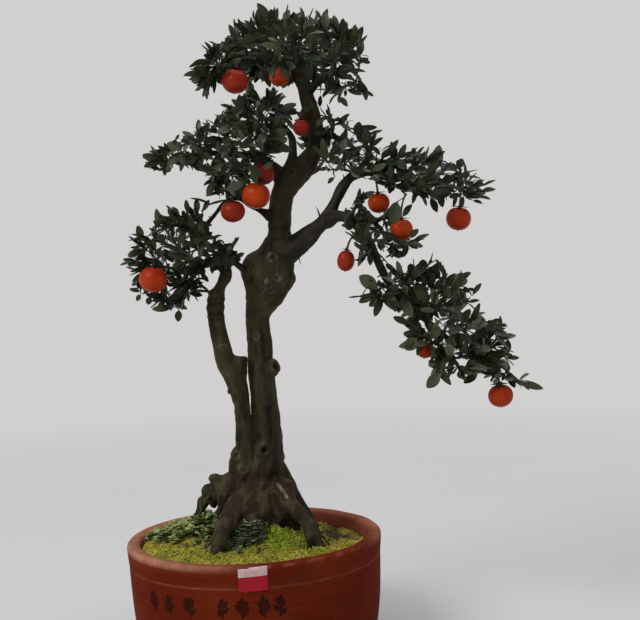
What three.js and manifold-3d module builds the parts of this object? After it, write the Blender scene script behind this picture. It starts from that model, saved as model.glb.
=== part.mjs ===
// A fruiting ebony-family tree trained as a bonsai, standing in its round terracotta pot.
// Millimetres, +Z up. The origin is the centre of the pot's flat underside, +X is the side
// that the long cascading branch falls to, and -Y is the front, with the paper label.
import * as THREE from "three";
import { mergeVertices } from "three/addons/utils/BufferGeometryUtils.js";
import Module from "manifold-3d";

const wasm = await Module();
wasm.setup();

const GAP = 0.3; // clearance where two pieces touch
const UP = new THREE.Vector3(0, 0, 1);
const GOLDEN_ANGLE = (137.5 * Math.PI) / 180;

// Pot
const POT_FACETS = 32;
const POT_RADIUS = 145;
const POT_HEIGHT = 125;
const POT_FOOT_RADIUS = 127;
const POT_FLOOR = 15;
const LIP_WIDTH = 15;
const GROOVE_HEIGHT = 101;
const GROOVE_DEPTH = 1.4;
const DRAIN_RADIUS = 8;
const DRAIN_CIRCLE = 60;
const CHANNEL_WIDTH = 14;
const CHANNEL_DEPTH = 5;
const DRAIN_ANGLES = [30, 150, 270].map(THREE.MathUtils.degToRad);

// Paper label on the front wall
const LABEL_WIDTH = 31;
const LABEL_TOP = 120;
const LABEL_HEIGHT = 23;
const LABEL_THICKNESS = 0.6;

// Leaves and twigs
const LEAF_LENGTH = 35;
const LEAF_SLENDERNESS = 0.44;
const LEAF_THICKNESS = 1.1;
const TWIG_BASE_RADIUS = 2.8;
const TWIG_TIP_RADIUS = 0.9;
const SIDE_TWIG_RADIUS = 1.3;
const LEAF_STALK_RADIUS = 0.75;
const SPROUT_STRETCH = 2.2; // of a twig's length, for what sprouts at one place
const MAIN_LEAVES = 0.66; // places of side leaves, as shares of the twig's length
const SIDE_LEAVES = 0.55;

// The limbs and roots of the wood. Each row is a point on the axis and the radius there.
const LIMBS = {
  trunk: {
    sides: 9,
    points: [
      [2, -5, 108, 40], [4, -5, 140, 35.5], [5, -1, 163, 31.2], [7, 3, 186, 28.9],
      [13, 4, 211, 24.1], [17, 4, 238, 19.5], [19, 4, 272, 16], [17, 4, 307, 14.8],
      [17, 4, 347, 13.9], [18, 3, 379, 14.8], [28, 0, 402, 21.6], [32.5, -2, 424, 29.3],
      [38, -2, 444, 23.2], [44, 0, 464, 14.7], [48, 4, 489, 13], [53, 6, 512, 13.6],
      [65, 8, 531, 15.9], [81, 10, 545, 12.5], [92, 10, 564, 9.1], [94, 8, 584, 8.5],
      [88, 4, 607, 9], [83, 0, 629, 8], [81, 0, 654, 6.3], [80, -2, 666, 3.8],
    ],
  },
  second: {
    sides: 7,
    points: [
      [-5, -6, 196, 15], [-5, -10, 230, 11.3], [-6, -10, 259, 9.3], [-7, -10, 281, 9.6],
      [-11, -10, 302, 11.8], [-21, -9, 323, 11.3], [-25, -8, 341, 10.4], [-29, -8, 364, 9.7],
      [-30, -6, 385, 9.7], [-28, -4, 399, 9], [-23, -2, 411, 5.7], [-17, 0, 422, 7],
      [-16, 2, 436, 5],
    ],
  },
  second_stub: { sides: 7, points: [[-12, -10, 288, 10.2], [-8, -10, 313, 9.6], [-6, -10, 331, 8.5]] },
  east: {
    sides: 7,
    points: [
      [45, -6, 446, 13.5], [64, -12, 453, 11.8], [82, -20, 467, 9.8], [100, -28, 483, 8.3],
      [109, -30, 500, 6.6], [118, -26, 515, 6.2], [129, -20, 526, 6], [143, -14, 531, 5.6],
      [160, -8, 529, 5.2], [186, -2, 523, 4.3], [215, 4, 517, 3.4], [242, 8, 512, 2.7],
    ],
  },
  cascade: {
    sides: 6,
    points: [
      [97, -28, 479, 7.2], [112, -42, 483, 6.2], [128, -54, 475, 6.1], [138, -62, 458, 5.7],
      [147, -66, 438, 5], [155, -66, 419, 4.6], [165, -62, 400, 4.2], [182, -56, 381, 3.7],
      [204, -50, 362, 3.3], [228, -46, 340, 2.9], [253, -42, 323, 2.5], [271, -40, 308, 2.2],
    ],
  },
  west_low: {
    sides: 5,
    points: [
      [39, 0, 487, 5.7], [27, -10, 493, 3.6], [14, -20, 500, 2.9], [0, -26, 509, 2.5],
      [-13, -26, 505, 2.4], [-24, -22, 493, 2.6], [-36, -18, 480, 2.7], [-48, -14, 467, 2.5],
      [-63, -10, 454, 2],
    ],
  },
  burl_spur: { sides: 5, points: [[11, -6, 425, 5.6], [0, -16, 432, 3.8], [-11, -22, 442, 2.9]] },
  west_mid: {
    sides: 5,
    points: [
      [54, 6, 527, 7.9], [42, 0, 543, 5.6], [22, -8, 554, 4.5], [-3, -14, 558, 3.8],
      [-29, -18, 560, 3.1], [-56, -20, 558, 2.4],
    ],
  },
  north_mid: {
    sides: 6,
    points: [
      [62, 10, 536, 6.8], [66, 12, 556, 5.1], [66, 18, 575, 4.1], [54, 30, 592, 3.4], [36, 40, 601, 2.8],
    ],
  },
  crown_west: {
    sides: 5,
    points: [
      [83, 0, 645, 5.6], [65, -10, 657, 4.5], [43, -18, 664, 3.5], [18, -22, 662, 2.9], [-2, -24, 656, 2.2],
    ],
  },
  crown_east: {
    sides: 5,
    points: [
      [84, 0, 624, 5.6], [100, -8, 636, 4], [118, -14, 644, 3.3], [133, -18, 647, 2.4],
    ],
  },
  crown_back: { sides: 5, points: [[81, 2, 640, 5.6], [92, 26, 659, 4.1], [102, 46, 670, 3]] },
  crown_front: { sides: 5, points: [[83, -2, 658, 4.2], [74, -24, 664, 3.4], [67, -42, 671, 2.4]] },
  mid_back: {
    sides: 6,
    points: [
      [53, 8, 500, 6.8], [64, 34, 516, 5.1], [80, 62, 530, 4], [99, 84, 542, 3.1],
    ],
  },
  mid_east: {
    sides: 5,
    points: [
      [91, 8, 569, 5.7], [106, -2, 574, 3.8], [121, -12, 568, 3.1], [134, -18, 558, 2.5],
    ],
  },
  second_top_west: {
    sides: 5,
    points: [
      [-17, 2, 429, 4.5], [-32, 0, 439, 3.6], [-47, -4, 437, 3.2], [-66, -8, 432, 2.7],
    ],
  },
  root_west: {
    sides: 7,
    points: [
      [-4, 2, 190, 16], [-20, 6, 185, 13.8], [-37, 14, 179, 11.5], [-48, 22, 171, 8.7],
      [-55, 28, 160, 6.4], [-64, 34, 146, 4.7], [-72, 36, 133, 3.7], [-76, 37, 123, 3.2],
    ],
  },
  root_front: {
    sides: 7,
    points: [
      [-2, -10, 176, 17.1], [-14, -24, 168, 13.5], [-25, -38, 156, 11.7], [-33, -52, 144, 11.1],
      [-39, -67, 132, 9.6], [-44, -80, 121, 7.4], [-46, -87, 111, 6],
    ],
  },
  root_east: {
    sides: 7,
    points: [
      [19, -4, 187, 16], [31, -14, 170, 13.1], [44, -24, 157, 11.3], [57, -34, 148, 9.7],
      [66, -46, 137, 7.4], [70, -56, 125, 5.8], [71, -62, 115, 4.5], [71, -65, 106, 4],
    ],
  },
  root_ridge: {
    sides: 6,
    points: [
      [31, 6, 201, 9.2], [41, 10, 183, 7.5], [50, 14, 164, 6.4], [59, 18, 149, 4.9],
      [68, 20, 135, 4], [73, 20, 118, 3.5], [75, 20, 106, 3.2],
    ],
  },
  root_back: {
    sides: 7,
    points: [
      [9, 16, 177, 16.2], [14, 40, 158, 12.9], [20, 64, 142, 9.6], [27, 84, 124, 6.8],
      [31, 92, 105, 5],
    ],
  },
  root_back_west: {
    sides: 5,
    points: [
      [-6, 14, 170, 13], [-24, 38, 154, 10], [-40, 58, 138, 7], [-50, 70, 122, 5],
      [-54, 75, 106, 4],
    ],
  },
  root_mid: {
    sides: 5,
    points: [
      [4, -16, 167, 13.6], [0, -32, 155, 7.9], [-6, -46, 143, 5.6], [-11, -56, 131, 4.4],
      [-14, -61, 114, 3.6],
    ],
  },
  root_claw: {
    sides: 5,
    points: [
      [54, -30, 151, 5.6], [57, -46, 140, 4.5], [59, -58, 127, 3.8], [60, -64, 110, 3.3],
    ],
  },
  root_prop: {
    sides: 5,
    points: [
      [-32, 8, 181, 5.7], [-37, 2, 169, 3.9], [-39, -2, 153, 3.2], [-40, -4, 136, 3],
      [-40, -5, 122, 2.8],
    ],
  },
};

// Swellings round old pruning wounds: centre, and the half sizes along x, y and z.
const KNOTS = [
  { centre: [33, -21, 442], size: [7, 6, 6] },
  { centre: [29, -25, 412], size: [9, 6, 8] },
  { centre: [29, -6, 315], size: [8, 9, 10] },
  { centre: [14, -17, 224], size: [9, 6, 9] },
  { centre: [-14, -15, 219], size: [8, 7, 11] },
  { centre: [-42, 8, 190], size: [9, 8, 7] },
];

// Thorns stand on the thin limbs, one about every THORN_PITCH of their length.
const THORNY_LIMBS = ["west_low", "west_mid", "crown_west", "cascade", "second_top_west"];
const THORN_PITCH = 60;
const THORN_LENGTH = 8;
const THORN_RADIUS = 1.3;

// Leafy sprays. Each grows from a limb, at a place counted in points along it, through its
// path, and sends a side twig to each of its tips.
const SPRAYS = {
  crown_top: {
    limb: "trunk", at: 23, path: [[80, -4, 678], [82, -2, 692]],
    tips: [[49, -18, 692], [106, 10, 691]],
  },
  crown_upper_west: {
    limb: "crown_west", at: 1.8, path: [[40, -22, 680], [26, -22, 687]],
    tips: [[17, -12, 675], [36, -8, 691]],
  },
  crown_west: {
    limb: "crown_west", at: 4, path: [[-12, -26, 651], [-21, -24, 643]],
    tips: [[-4, -10, 666], [-14, -36, 661]],
  },
  crown_east: {
    limb: "crown_east", at: 1.6, path: [[121, 0, 664], [136, 6, 676]],
    tips: [[124, 14, 687], [143, -6, 662]],
  },
  crown_low_east: {
    limb: "crown_east", at: 3, path: [[141, -12, 640], [145, -6, 632]],
    tips: [[142, -30, 650], [129, 4, 629]],
  },
  crown_front: {
    limb: "crown_front", at: 2, path: [[59, -58, 669], [48, -74, 659]],
    tips: [[75, -60, 677], [38, -56, 672], [82, -72, 658]],
  },
  crown_back: {
    limb: "crown_back", at: 2, path: [[109, 64, 681], [117, 82, 688]],
    tips: [[98, 72, 694], [128, 72, 670], [84, 66, 672]],
  },
  crown_back_west: {
    limb: "crown_back", at: 1.1, path: [[74, 46, 676], [56, 66, 682]],
    tips: [[62, 58, 694], [38, 54, 673]],
  },
  north_mid: {
    limb: "north_mid", at: 4, path: [[24, 44, 607], [12, 48, 613]],
    tips: [[38, 56, 615], [2, 34, 600], [40, 12, 609]],
  },
  west_mid_tip: {
    limb: "west_mid", at: 5, path: [[-69, -22, 555], [-79, -24, 554]],
    tips: [[-67, -34, 564], [-70, -12, 547]],
  },
  west_mid_outer: {
    limb: "west_mid", at: 4, path: [[-41, -30, 569], [-54, -34, 572]],
    tips: [[-32, -42, 579], [-62, -46, 563]],
  },
  west_mid_inner: {
    limb: "west_mid", at: 2.8, path: [[-5, -30, 574], [-19, -38, 583]],
    tips: [[-31, -28, 587], [0, -46, 590]],
  },
  west_mid_back: {
    limb: "west_mid", at: 3.4, path: [[-27, 14, 574], [-45, 34, 578]],
    tips: [[-29, 40, 585], [-57, 32, 570]],
  },
  west_mid_front: {
    limb: "west_mid", at: 1.6, path: [[27, -34, 571], [14, -52, 579]],
    tips: [[0, -58, 564], [32, -46, 587]],
  },
  west_mid_low: {
    limb: "west_mid", at: 2.4, path: [[3, -32, 541], [-8, -40, 533]],
    tips: [[-23, -36, 538], [13, -46, 531]],
  },
  mid_east_tip: {
    limb: "mid_east", at: 3, path: [[145, -20, 560], [156, -20, 568]],
    tips: [[133, -28, 575], [148, -10, 552]],
  },
  mid_east_low: {
    limb: "mid_east", at: 2, path: [[121, -26, 545], [115, -32, 530]],
    tips: [[105, -24, 535], [131, -40, 535]],
  },
  mid_east_up: {
    limb: "mid_east", at: 1.1, path: [[113, -6, 585], [121, -8, 589]],
    tips: [[108, 8, 595], [132, 4, 581]],
  },
  mid_back: {
    limb: "mid_back", at: 3, path: [[112, 98, 557], [126, 108, 569]],
    tips: [[102, 112, 570], [131, 100, 549]],
  },
  east_arch: {
    limb: "east", at: 7.4, path: [[159, -16, 541], [173, -12, 544]],
    tips: [[148, -28, 553], [187, -4, 541]],
  },
  east_mid: {
    limb: "east", at: 9.2, path: [[199, 0, 532], [214, 0, 537]],
    tips: [[229, -6, 541], [203, 14, 544]],
  },
  east_outer: {
    limb: "east", at: 10.4, path: [[236, 14, 528], [249, 18, 532]],
    tips: [[236, 28, 538], [258, 16, 526]],
  },
  east_tip: {
    limb: "east", at: 11, path: [[256, 6, 508], [268, 0, 510]],
    tips: [[263, 14, 498], [259, -8, 518]],
  },
  east_front: {
    limb: "east", at: 8.6, path: [[179, -32, 511], [186, -48, 504]],
    tips: [[200, -44, 512], [168, -52, 520]],
  },
  east_back: {
    limb: "east", at: 9.7, path: [[216, 36, 528], [238, 54, 527]],
    tips: [[222, 58, 542], [240, 44, 513]],
  },
  fork_up: {
    limb: "cascade", at: 1.8, path: [[127, -60, 490], [134, -66, 495]],
    tips: [[115, -70, 491]],
  },
  fork_east: {
    limb: "cascade", at: 3.1, path: [[157, -72, 453], [172, -74, 445]],
    tips: [[183, -70, 455], [167, -66, 437]],
  },
  fork_west: {
    limb: "cascade", at: 3.6, path: [[137, -78, 441], [129, -86, 440]],
    tips: [[139, -82, 430], [131, -80, 453]],
  },
  fork_back: {
    limb: "cascade", at: 2.5, path: [[150, -36, 476], [168, -22, 483]],
    tips: [[165, -20, 468]],
  },
  fall_west: {
    limb: "cascade", at: 5.9, path: [[148, -72, 406], [138, -80, 407]],
    tips: [[148, -78, 418], [148, -68, 392]],
  },
  fall_up: {
    limb: "cascade", at: 6.4, path: [[181, -54, 404], [191, -50, 413]],
    tips: [[175, -64, 411], [206, -42, 409]],
  },
  fall_mid: {
    limb: "cascade", at: 7.5, path: [[211, -44, 394], [222, -40, 406]],
    tips: [[239, -38, 397], [251, -30, 397], [214, -62, 380]],
  },
  fall_east: {
    limb: "cascade", at: 9, path: [[248, -38, 360], [269, -34, 357]],
    tips: [[261, -28, 369], [277, -42, 346], [248, -64, 352]],
  },
  fall_outer: {
    limb: "cascade", at: 10.2, path: [[275, -32, 331], [287, -28, 337]],
    tips: [[283, -22, 346], [287, -36, 320]],
  },
  fall_tip: {
    limb: "cascade", at: 11, path: [[288, -42, 296], [309, -42, 289]],
    tips: [[297, -32, 306]],
  },
  fall_low: {
    limb: "cascade", at: 9.3, path: [[221, -60, 326], [208, -66, 312]],
    tips: [[235, -62, 311], [197, -66, 348]],
  },
  fall_back: {
    limb: "cascade", at: 8.7, path: [[232, -10, 353], [254, 12, 350]],
    tips: [[246, 14, 364], [260, 10, 336]],
  },
  low_up: {
    limb: "west_low", at: 6.2, path: [[-47, -28, 487], [-61, -34, 487]],
    tips: [[-38, -26, 499], [-74, -34, 480], [-53, -44, 480]],
  },
  low_out: {
    limb: "west_low", at: 8, path: [[-82, -12, 462], [-101, -14, 468]],
    tips: [[-96, 0, 474], [-103, -24, 455]],
  },
  low_back: {
    limb: "second_top_west", at: 2, path: [[-57, 22, 446], [-78, 42, 456]],
    tips: [[-66, 46, 465], [-88, 40, 440]],
  },
  low_tip: {
    limb: "second_top_west", at: 3, path: [[-87, -16, 437], [-106, -26, 445]],
    tips: [[-110, -14, 430], [-87, -42, 449], [-85, -18, 404]],
  },
  low_spur: {
    limb: "burl_spur", at: 2, path: [[-24, -26, 449], [-37, -36, 453], [-52, -48, 457]],
    tips: [[-40, -50, 468], [-55, -50, 441], [-4, -20, 460], [-60, -22, 410]],
  },
};

// Fruits: centre, radius across, height over width, and the limb or spray that each hangs from.
const FRUITS = [
  { centre: [5, -34, 636], radius: 14.5, tall: 0.93, limb: "crown_west" },
  { centre: [54, -16, 641], radius: 11.1, tall: 0.95, limb: "crown_west" },
  { centre: [76, -12, 584], radius: 9.5, tall: 0.98, limb: "trunk" },
  { centre: [30, -30, 534], radius: 13.3, tall: 0.92, limb: "west_mid" },
  { centre: [21, -46, 510], radius: 15.6, tall: 0.93, spray: "west_mid_low" },
  { centre: [-5, -46, 494], radius: 13.3, tall: 0.9, limb: "west_low" },
  { centre: [-96, -42, 424], radius: 15.3, tall: 0.93, spray: "low_tip" },
  { centre: [158, -22, 496], radius: 12.3, tall: 0.92, limb: "east" },
  { centre: [178, -56, 465], radius: 13.1, tall: 0.93, spray: "east_front" },
  { centre: [251, 0, 474], radius: 14.4, tall: 0.93, spray: "east_tip" },
  { centre: [116, -50, 434], radius: 9.7, tall: 1.2, limb: "cascade" },
  { centre: [199, -50, 331], radius: 9.7, tall: 0.95, limb: "cascade" },
  { centre: [282, -48, 275], radius: 13.7, tall: 0.93, spray: "fall_tip" },
];
const PEDICEL_RADIUS = 1;
const CALYX_RADIUS = 0.72; // of the fruit's own radius

const material = (color, roughness) => new THREE.MeshStandardMaterial({ color, roughness, metalness: 0 });
const TERRACOTTA = material(0x7a3520, 0.7);
const MOSS = material(0x66702a, 1);
const BARK = material(0x3b3626, 0.9);
const LEAF = material(0x2c3a22, 0.45);
const FRUIT = material(0xb8401a, 0.35);
const PAPER = material(0xc02f35, 0.6);

const vec = (row) => new THREE.Vector3(row[0], row[1], row[2]);

// A repeatable draw between 0 and 1 from whole numbers that name what it is for.
function draw(...keys) {
  let state = 2166136261;
  for (const key of keys) {
    state = Math.imul(state ^ (key + 1), 16777619);
    state ^= state >>> 13;
    state = Math.imul(state, 1540483477);
    state ^= state >>> 15;
  }
  return (state >>> 0) / 4294967296;
}

// A closed mesh as a solid, turned the right way out, without collapsed triangles.
function solidOf(geometry) {
  geometry.deleteAttribute("normal");
  geometry.deleteAttribute("uv");
  const merged = mergeVertices(geometry, 1e-4);
  const index = merged.index.array;
  const place = merged.attributes.position;
  const corner = [0, 1, 2].map(() => new THREE.Vector3());
  const kept = [];
  let volume = 0;
  for (let i = 0; i < index.length; i += 3) {
    const [a, b, c] = [index[i], index[i + 1], index[i + 2]];
    if (a === b || b === c || c === a) continue;
    kept.push([a, b, c]);
    [a, b, c].forEach((vertex, n) => corner[n].fromBufferAttribute(place, vertex));
    volume += corner[0].dot(corner[1].cross(corner[2]));
  }
  const triVerts = new Uint32Array((volume < 0 ? kept.map(([a, b, c]) => [a, c, b]) : kept).flat());
  return new wasm.Manifold(new wasm.Mesh({ numProp: 3, vertProperties: place.array, triVerts }));
}

function geometryOf(solid) {
  const mesh = solid.getMesh();
  const geometry = new THREE.BufferGeometry();
  geometry.setAttribute("position", new THREE.BufferAttribute(mesh.vertProperties, 3));
  geometry.setIndex(new THREE.BufferAttribute(mesh.triVerts, 1));
  geometry.computeVertexNormals();
  return geometry;
}

const join = (solids) => wasm.Manifold.union(solids);

// The largest separate body of a solid: what a union leaves loose is dropped.
function mainBody(solid) {
  return solid.decompose().reduce((best, body) => (body.volume() > best.volume() ? body : best));
}

// A closed skin over rings that all have the same number of points.
function loft(rings) {
  const count = rings[0].length;
  const positions = rings.flat().flatMap((point) => [point.x, point.y, point.z]);
  const index = [];
  for (let ring = 0; ring + 1 < rings.length; ring++) {
    for (let side = 0; side < count; side++) {
      const a = ring * count + side;
      const b = ring * count + ((side + 1) % count);
      index.push(a, b, b + count, a, b + count, a + count);
    }
  }
  const last = (rings.length - 1) * count;
  for (let side = 1; side + 1 < count; side++) {
    index.push(0, side + 1, side);
    index.push(last, last + side, last + side + 1);
  }
  const geometry = new THREE.BufferGeometry();
  geometry.setAttribute("position", new THREE.Float32BufferAttribute(positions, 3));
  geometry.setIndex(index);
  return solidOf(geometry);
}

// A tangent and two cross directions at each point, carried along without twist.
function framesAlong(points) {
  const frames = [];
  let side = null;
  points.forEach((point, i) => {
    const before = points[Math.max(i - 1, 0)];
    const after = points[Math.min(i + 1, points.length - 1)];
    const tangent = after.clone().sub(before).normalize();
    if (!side) side = Math.abs(tangent.z) > 0.9 ? new THREE.Vector3(1, 0, 0) : UP.clone();
    side = side.clone().addScaledVector(tangent, -side.dot(tangent)).normalize();
    frames.push({ tangent, side, other: tangent.clone().cross(side) });
  });
  return frames;
}

function tube(points, radii, sides) {
  const frames = framesAlong(points);
  const rings = points.map((point, i) =>
    Array.from({ length: sides }, (_, n) => {
      const turn = (n / sides) * 2 * Math.PI;
      const { side, other } = frames[i];
      return point.clone()
        .addScaledVector(side, radii[i] * Math.cos(turn))
        .addScaledVector(other, radii[i] * Math.sin(turn));
    }),
  );
  return loft(rings);
}

const limbCurve = (limb) => new THREE.CatmullRomCurve3(limb.points.map(vec), false, "centripetal");

// The place, direction and radius of a limb at a place counted in points along it.
function onLimb(limb, at) {
  const last = limb.points.length - 1;
  const from = Math.min(Math.floor(at), last - 1);
  const radius = THREE.MathUtils.lerp(limb.points[from][3], limb.points[from + 1][3], at - from);
  const curve = limbCurve(limb);
  return { point: curve.getPoint(at / last), tangent: curve.getTangent(at / last), radius };
}

// A limb as a tube. A positive margin makes the hole that the limb stands in.
function limbSolid(limb, margin = 0) {
  const points = limb.points.map(vec);
  const radii = limb.points.map((row) => row[3] + margin);
  if (margin > 0) {
    const end = points.length - 1;
    const onward = points[end].clone().sub(points[end - 1]).normalize();
    points[end].addScaledVector(onward, margin);
    const back = points[0].clone().sub(points[1]).normalize();
    points[0].addScaledVector(back, margin);
  }
  return tube(points, radii, limb.sides);
}

function turnedSolid(profile, facets) {
  const outline = profile.map(([radius, height]) => new THREE.Vector2(radius, height));
  return solidOf(new THREE.LatheGeometry(outline, facets).rotateX(Math.PI / 2));
}

// Pot: a round tub with a rolled lip, a thin groove, drain holes and drain channels.
const INNER_RADIUS = POT_RADIUS - LIP_WIDTH;
const POT_OUTSIDE = [
  [POT_FOOT_RADIUS, 0], [135, 11], [140, 42], [143.2, GROOVE_HEIGHT - 1.2],
  [143.4 - GROOVE_DEPTH, GROOVE_HEIGHT], [143.6, GROOVE_HEIGHT + 1.2], [POT_RADIUS, 120.5],
  [144.2, 123.6], [141.6, POT_HEIGHT],
];
const WALL_BEND_HEIGHT = 34;
const POT_INSIDE = [
  [INNER_RADIUS + 2, POT_HEIGHT], [INNER_RADIUS - 0.6, 122], [122, WALL_BEND_HEIGHT], [112, POT_FLOOR],
];

function potSolid() {
  let pot = turnedSolid([[0, 0], ...POT_OUTSIDE, ...POT_INSIDE, [0, POT_FLOOR]], POT_FACETS);
  for (const angle of DRAIN_ANGLES) {
    const drain = new THREE.CylinderGeometry(DRAIN_RADIUS, DRAIN_RADIUS, 3 * POT_FLOOR, 12);
    drain.rotateX(Math.PI / 2);
    drain.translate(DRAIN_CIRCLE * Math.cos(angle), DRAIN_CIRCLE * Math.sin(angle), 0);
    const channel = new THREE.BoxGeometry(POT_RADIUS - DRAIN_CIRCLE, CHANNEL_WIDTH, 2 * CHANNEL_DEPTH);
    channel.translate((POT_RADIUS + DRAIN_CIRCLE) / 2, 0, 0).rotateZ(angle);
    pot = pot.subtract(solidOf(drain)).subtract(solidOf(channel));
  }
  return pot;
}

// The radius of a turned profile at a height, between two of its points.
function profileRadius(profile, height) {
  const spans = ([, level], i) => i > 0 && (level - height) * (profile[i - 1][1] - height) <= 0;
  const next = profile.findIndex(spans);
  const [[r0, z0], [r1, z1]] = [profile[next - 1], profile[next]];
  return THREE.MathUtils.lerp(r0, r1, (height - z0) / (z1 - z0));
}

const SOIL_EDGE_TOP = 120.5;
const SOIL_RINGS = [110, 80, 46, 0];

// Soil and moss: level with the lip in front, lower behind, heaped round the trunk and under
// the left root, and broken into low cushions.
function soilHeight(x, y) {
  const slope = 116 - 0.03 * x - 0.045 * y;
  const mound = 15 * Math.exp(-((x + 8) ** 2 + (y - 8) ** 2) / 4600);
  const westHeap = 10 * Math.exp(-((x + 72) ** 2 + (y - 30) ** 2) / 1500);
  const cushions = 1.5 * Math.sin(x / 8.5 + 1.3) * Math.sin(y / 7.5 - 0.4) + 0.9 * Math.sin((x + y) / 5.2);
  return slope + mound + westHeap + cushions;
}

function soilSolid() {
  const ringAt = (radius, heightOf) =>
    Array.from({ length: POT_FACETS }, (_, n) => {
      const turn = (n / POT_FACETS) * 2 * Math.PI - Math.PI / 2;
      const [x, y] = [radius * Math.cos(turn), radius * Math.sin(turn)];
      return new THREE.Vector3(x, y, heightOf(x, y));
    });
  const wallRing = (height) => ringAt(profileRadius(POT_INSIDE, height) - GAP - 0.1, () => height);
  const edgeRing = ringAt(INNER_RADIUS, soilHeight).map(({ x, y, z }) => {
    const height = Math.min(z, SOIL_EDGE_TOP);
    const radius = profileRadius(POT_INSIDE, height) - GAP - 0.1;
    return new THREE.Vector3(x, y, 0).setLength(radius).setZ(height);
  });
  const surface = SOIL_RINGS.map((radius) => ringAt(radius, soilHeight));
  const buried = Object.keys(LIMBS).filter((name) => name === "trunk" || name.startsWith("root"));
  const holes = buried.map((name) => limbSolid(LIMBS[name], GAP + 0.12));
  const soil = loft([wallRing(POT_FLOOR + GAP), wallRing(WALL_BEND_HEIGHT), edgeRing, ...surface]);
  return mainBody(soil.subtract(join(holes)));
}

// Label: a folded strip of paper that follows the two wall facets at the front.
function labelSolid() {
  const half = LABEL_WIDTH / 2;
  const foldAngle = (2 * Math.PI) / POT_FACETS;
  const setBack = half * Math.tan(foldAngle / 2);
  const ring = (height) => {
    const wall = profileRadius(POT_OUTSIDE, Math.max(height, GROOVE_HEIGHT + 1.3));
    const inner = wall + GAP + 0.1;
    const outer = inner + LABEL_THICKNESS;
    const corners = [
      [0, inner], [half, inner - setBack], [half, outer - setBack],
      [0, outer], [-half, outer - setBack], [-half, inner - setBack],
    ];
    return corners.map(([x, radius]) => new THREE.Vector3(x, -radius, height));
  };
  return loft([ring(LABEL_TOP - LABEL_HEIGHT), ring(LABEL_TOP)]);
}

// The three-sided section of twigs and leaves: two upper edges and a keel below.
function section(middle, direction, face, halfWidth, thickness) {
  const normal = face.clone().addScaledVector(direction, -face.dot(direction)).normalize();
  const across = direction.clone().cross(normal);
  const top = middle.clone().addScaledVector(normal, thickness / 3);
  return [
    top.clone().addScaledVector(across, -halfWidth),
    top.addScaledVector(across, halfWidth),
    middle.clone().addScaledVector(normal, (-2 * thickness) / 3),
  ];
}

const twigSection = (middle, direction, face, radius) =>
  section(middle, direction, face, 0.87 * radius, 1.5 * radius);

// A leaf: an elliptic blade flat on top with a keel below, drooping a little to its point.
// The stations give the distance from the twig and the width there, as shares of the whole.
const LEAF_STATIONS = [[0.4, 1], [0.74, 0.74], [1, 0]];

function leafRings({ base, direction, face, length, droop }) {
  const halfWidth = (length * LEAF_SLENDERNESS) / 2;
  const normal = face.clone().addScaledVector(direction, -face.dot(direction)).normalize();
  return LEAF_STATIONS.map(([along, width]) => {
    const middle = base.clone()
      .addScaledVector(direction, length * along)
      .addScaledVector(normal, -droop * length * along * along);
    return section(middle, direction, face, halfWidth * width, width > 0 ? LEAF_THICKNESS : 0);
  });
}

// The first ring of what sprouts from a twig, a little way out from the twig's axis.
function sproutRing(base, direction, face, radius) {
  return twigSection(base.clone().addScaledVector(direction, 1.6 + 2 * radius), direction, face, radius);
}

// One closed skin grown ring by ring. Rings have three corners, and each side between two
// rings is a panel, which a sprout may take the place of.
class Skin {
  points = [];
  index = [];

  ring(corners) {
    const first = this.points.length;
    this.points.push(...corners);
    return corners.map((_, n) => first + n);
  }

  panel([a, b, c, d]) {
    this.index.push(a, b, c, a, c, d);
  }

  panels(from, to) {
    return from.map((_, n) => [from[n], from[(n + 1) % 3], to[(n + 1) % 3], to[n]]);
  }

  // Joins the four corners of a panel to the three of a ring by the shortest edges.
  sprout(panel, ring) {
    const choices = [0, 1, 2, 3].flatMap((turn) =>
      [0, 1, 2].map((spin) => this.bridge(panel, ring, turn, spin)),
    );
    const best = choices.reduce((one, other) => (other.length < one.length ? other : one));
    this.index.push(...best.index);
  }

  bridge(panel, ring, turn, spin) {
    const q = [0, 1, 2, 3].map((n) => panel[(n + turn) % 4]);
    const r = [0, 1, 2].map((n) => ring[(n + spin) % 3]);
    const index = [
      q[0], q[1], r[0], q[1], r[1], r[0], q[1], q[2], r[1], q[2], r[2], r[1],
      q[2], q[3], r[2], q[3], r[0], r[2], q[3], q[0], r[0],
    ];
    const edges = [
      [q[0], r[0]], [q[1], r[0]], [q[1], r[1]], [q[2], r[1]], [q[2], r[2]], [q[3], r[2]], [q[3], r[0]],
    ];
    const length = edges.reduce((sum, [a, b]) => sum + this.points[a].distanceToSquared(this.points[b]), 0);
    return { index, length };
  }

  solid() {
    const geometry = new THREE.BufferGeometry();
    const positions = this.points.flatMap((point) => [point.x, point.y, point.z]);
    geometry.setAttribute("position", new THREE.Float32BufferAttribute(positions, 3));
    geometry.setIndex(this.index);
    return solidOf(geometry);
  }
}

// A fruit: oblate, with a flat crown under the calyx and a small point below.
function fruitSolid(radius, tall, facets = 8) {
  const height = radius * tall;
  const profile = [[0, -height - 1.4], [0.14 * radius, -0.97 * height]];
  for (const turn of [-42, 0, 42]) {
    const angle = THREE.MathUtils.degToRad(turn);
    profile.push([radius * Math.cos(angle) * 1.01, height * Math.sin(angle)]);
  }
  profile.push([0.3 * radius, 0.95 * height], [0, 0.93 * height]);
  return turnedSolid(profile, facets);
}

// A calyx: four pointed lobes in one thin star, with its hub in the middle.
function calyxSolid(radius) {
  const rim = (height, hub) =>
    Array.from({ length: 8 }, (_, n) => {
      const turn = (n / 8) * 2 * Math.PI;
      const reach = n % 2 === 0 ? radius : radius * 0.42;
      return new THREE.Vector3(reach * hub * Math.cos(turn), reach * hub * Math.sin(turn), height);
    });
  return loft([rim(0, 1), rim(2, 0.25)]);
}

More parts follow.
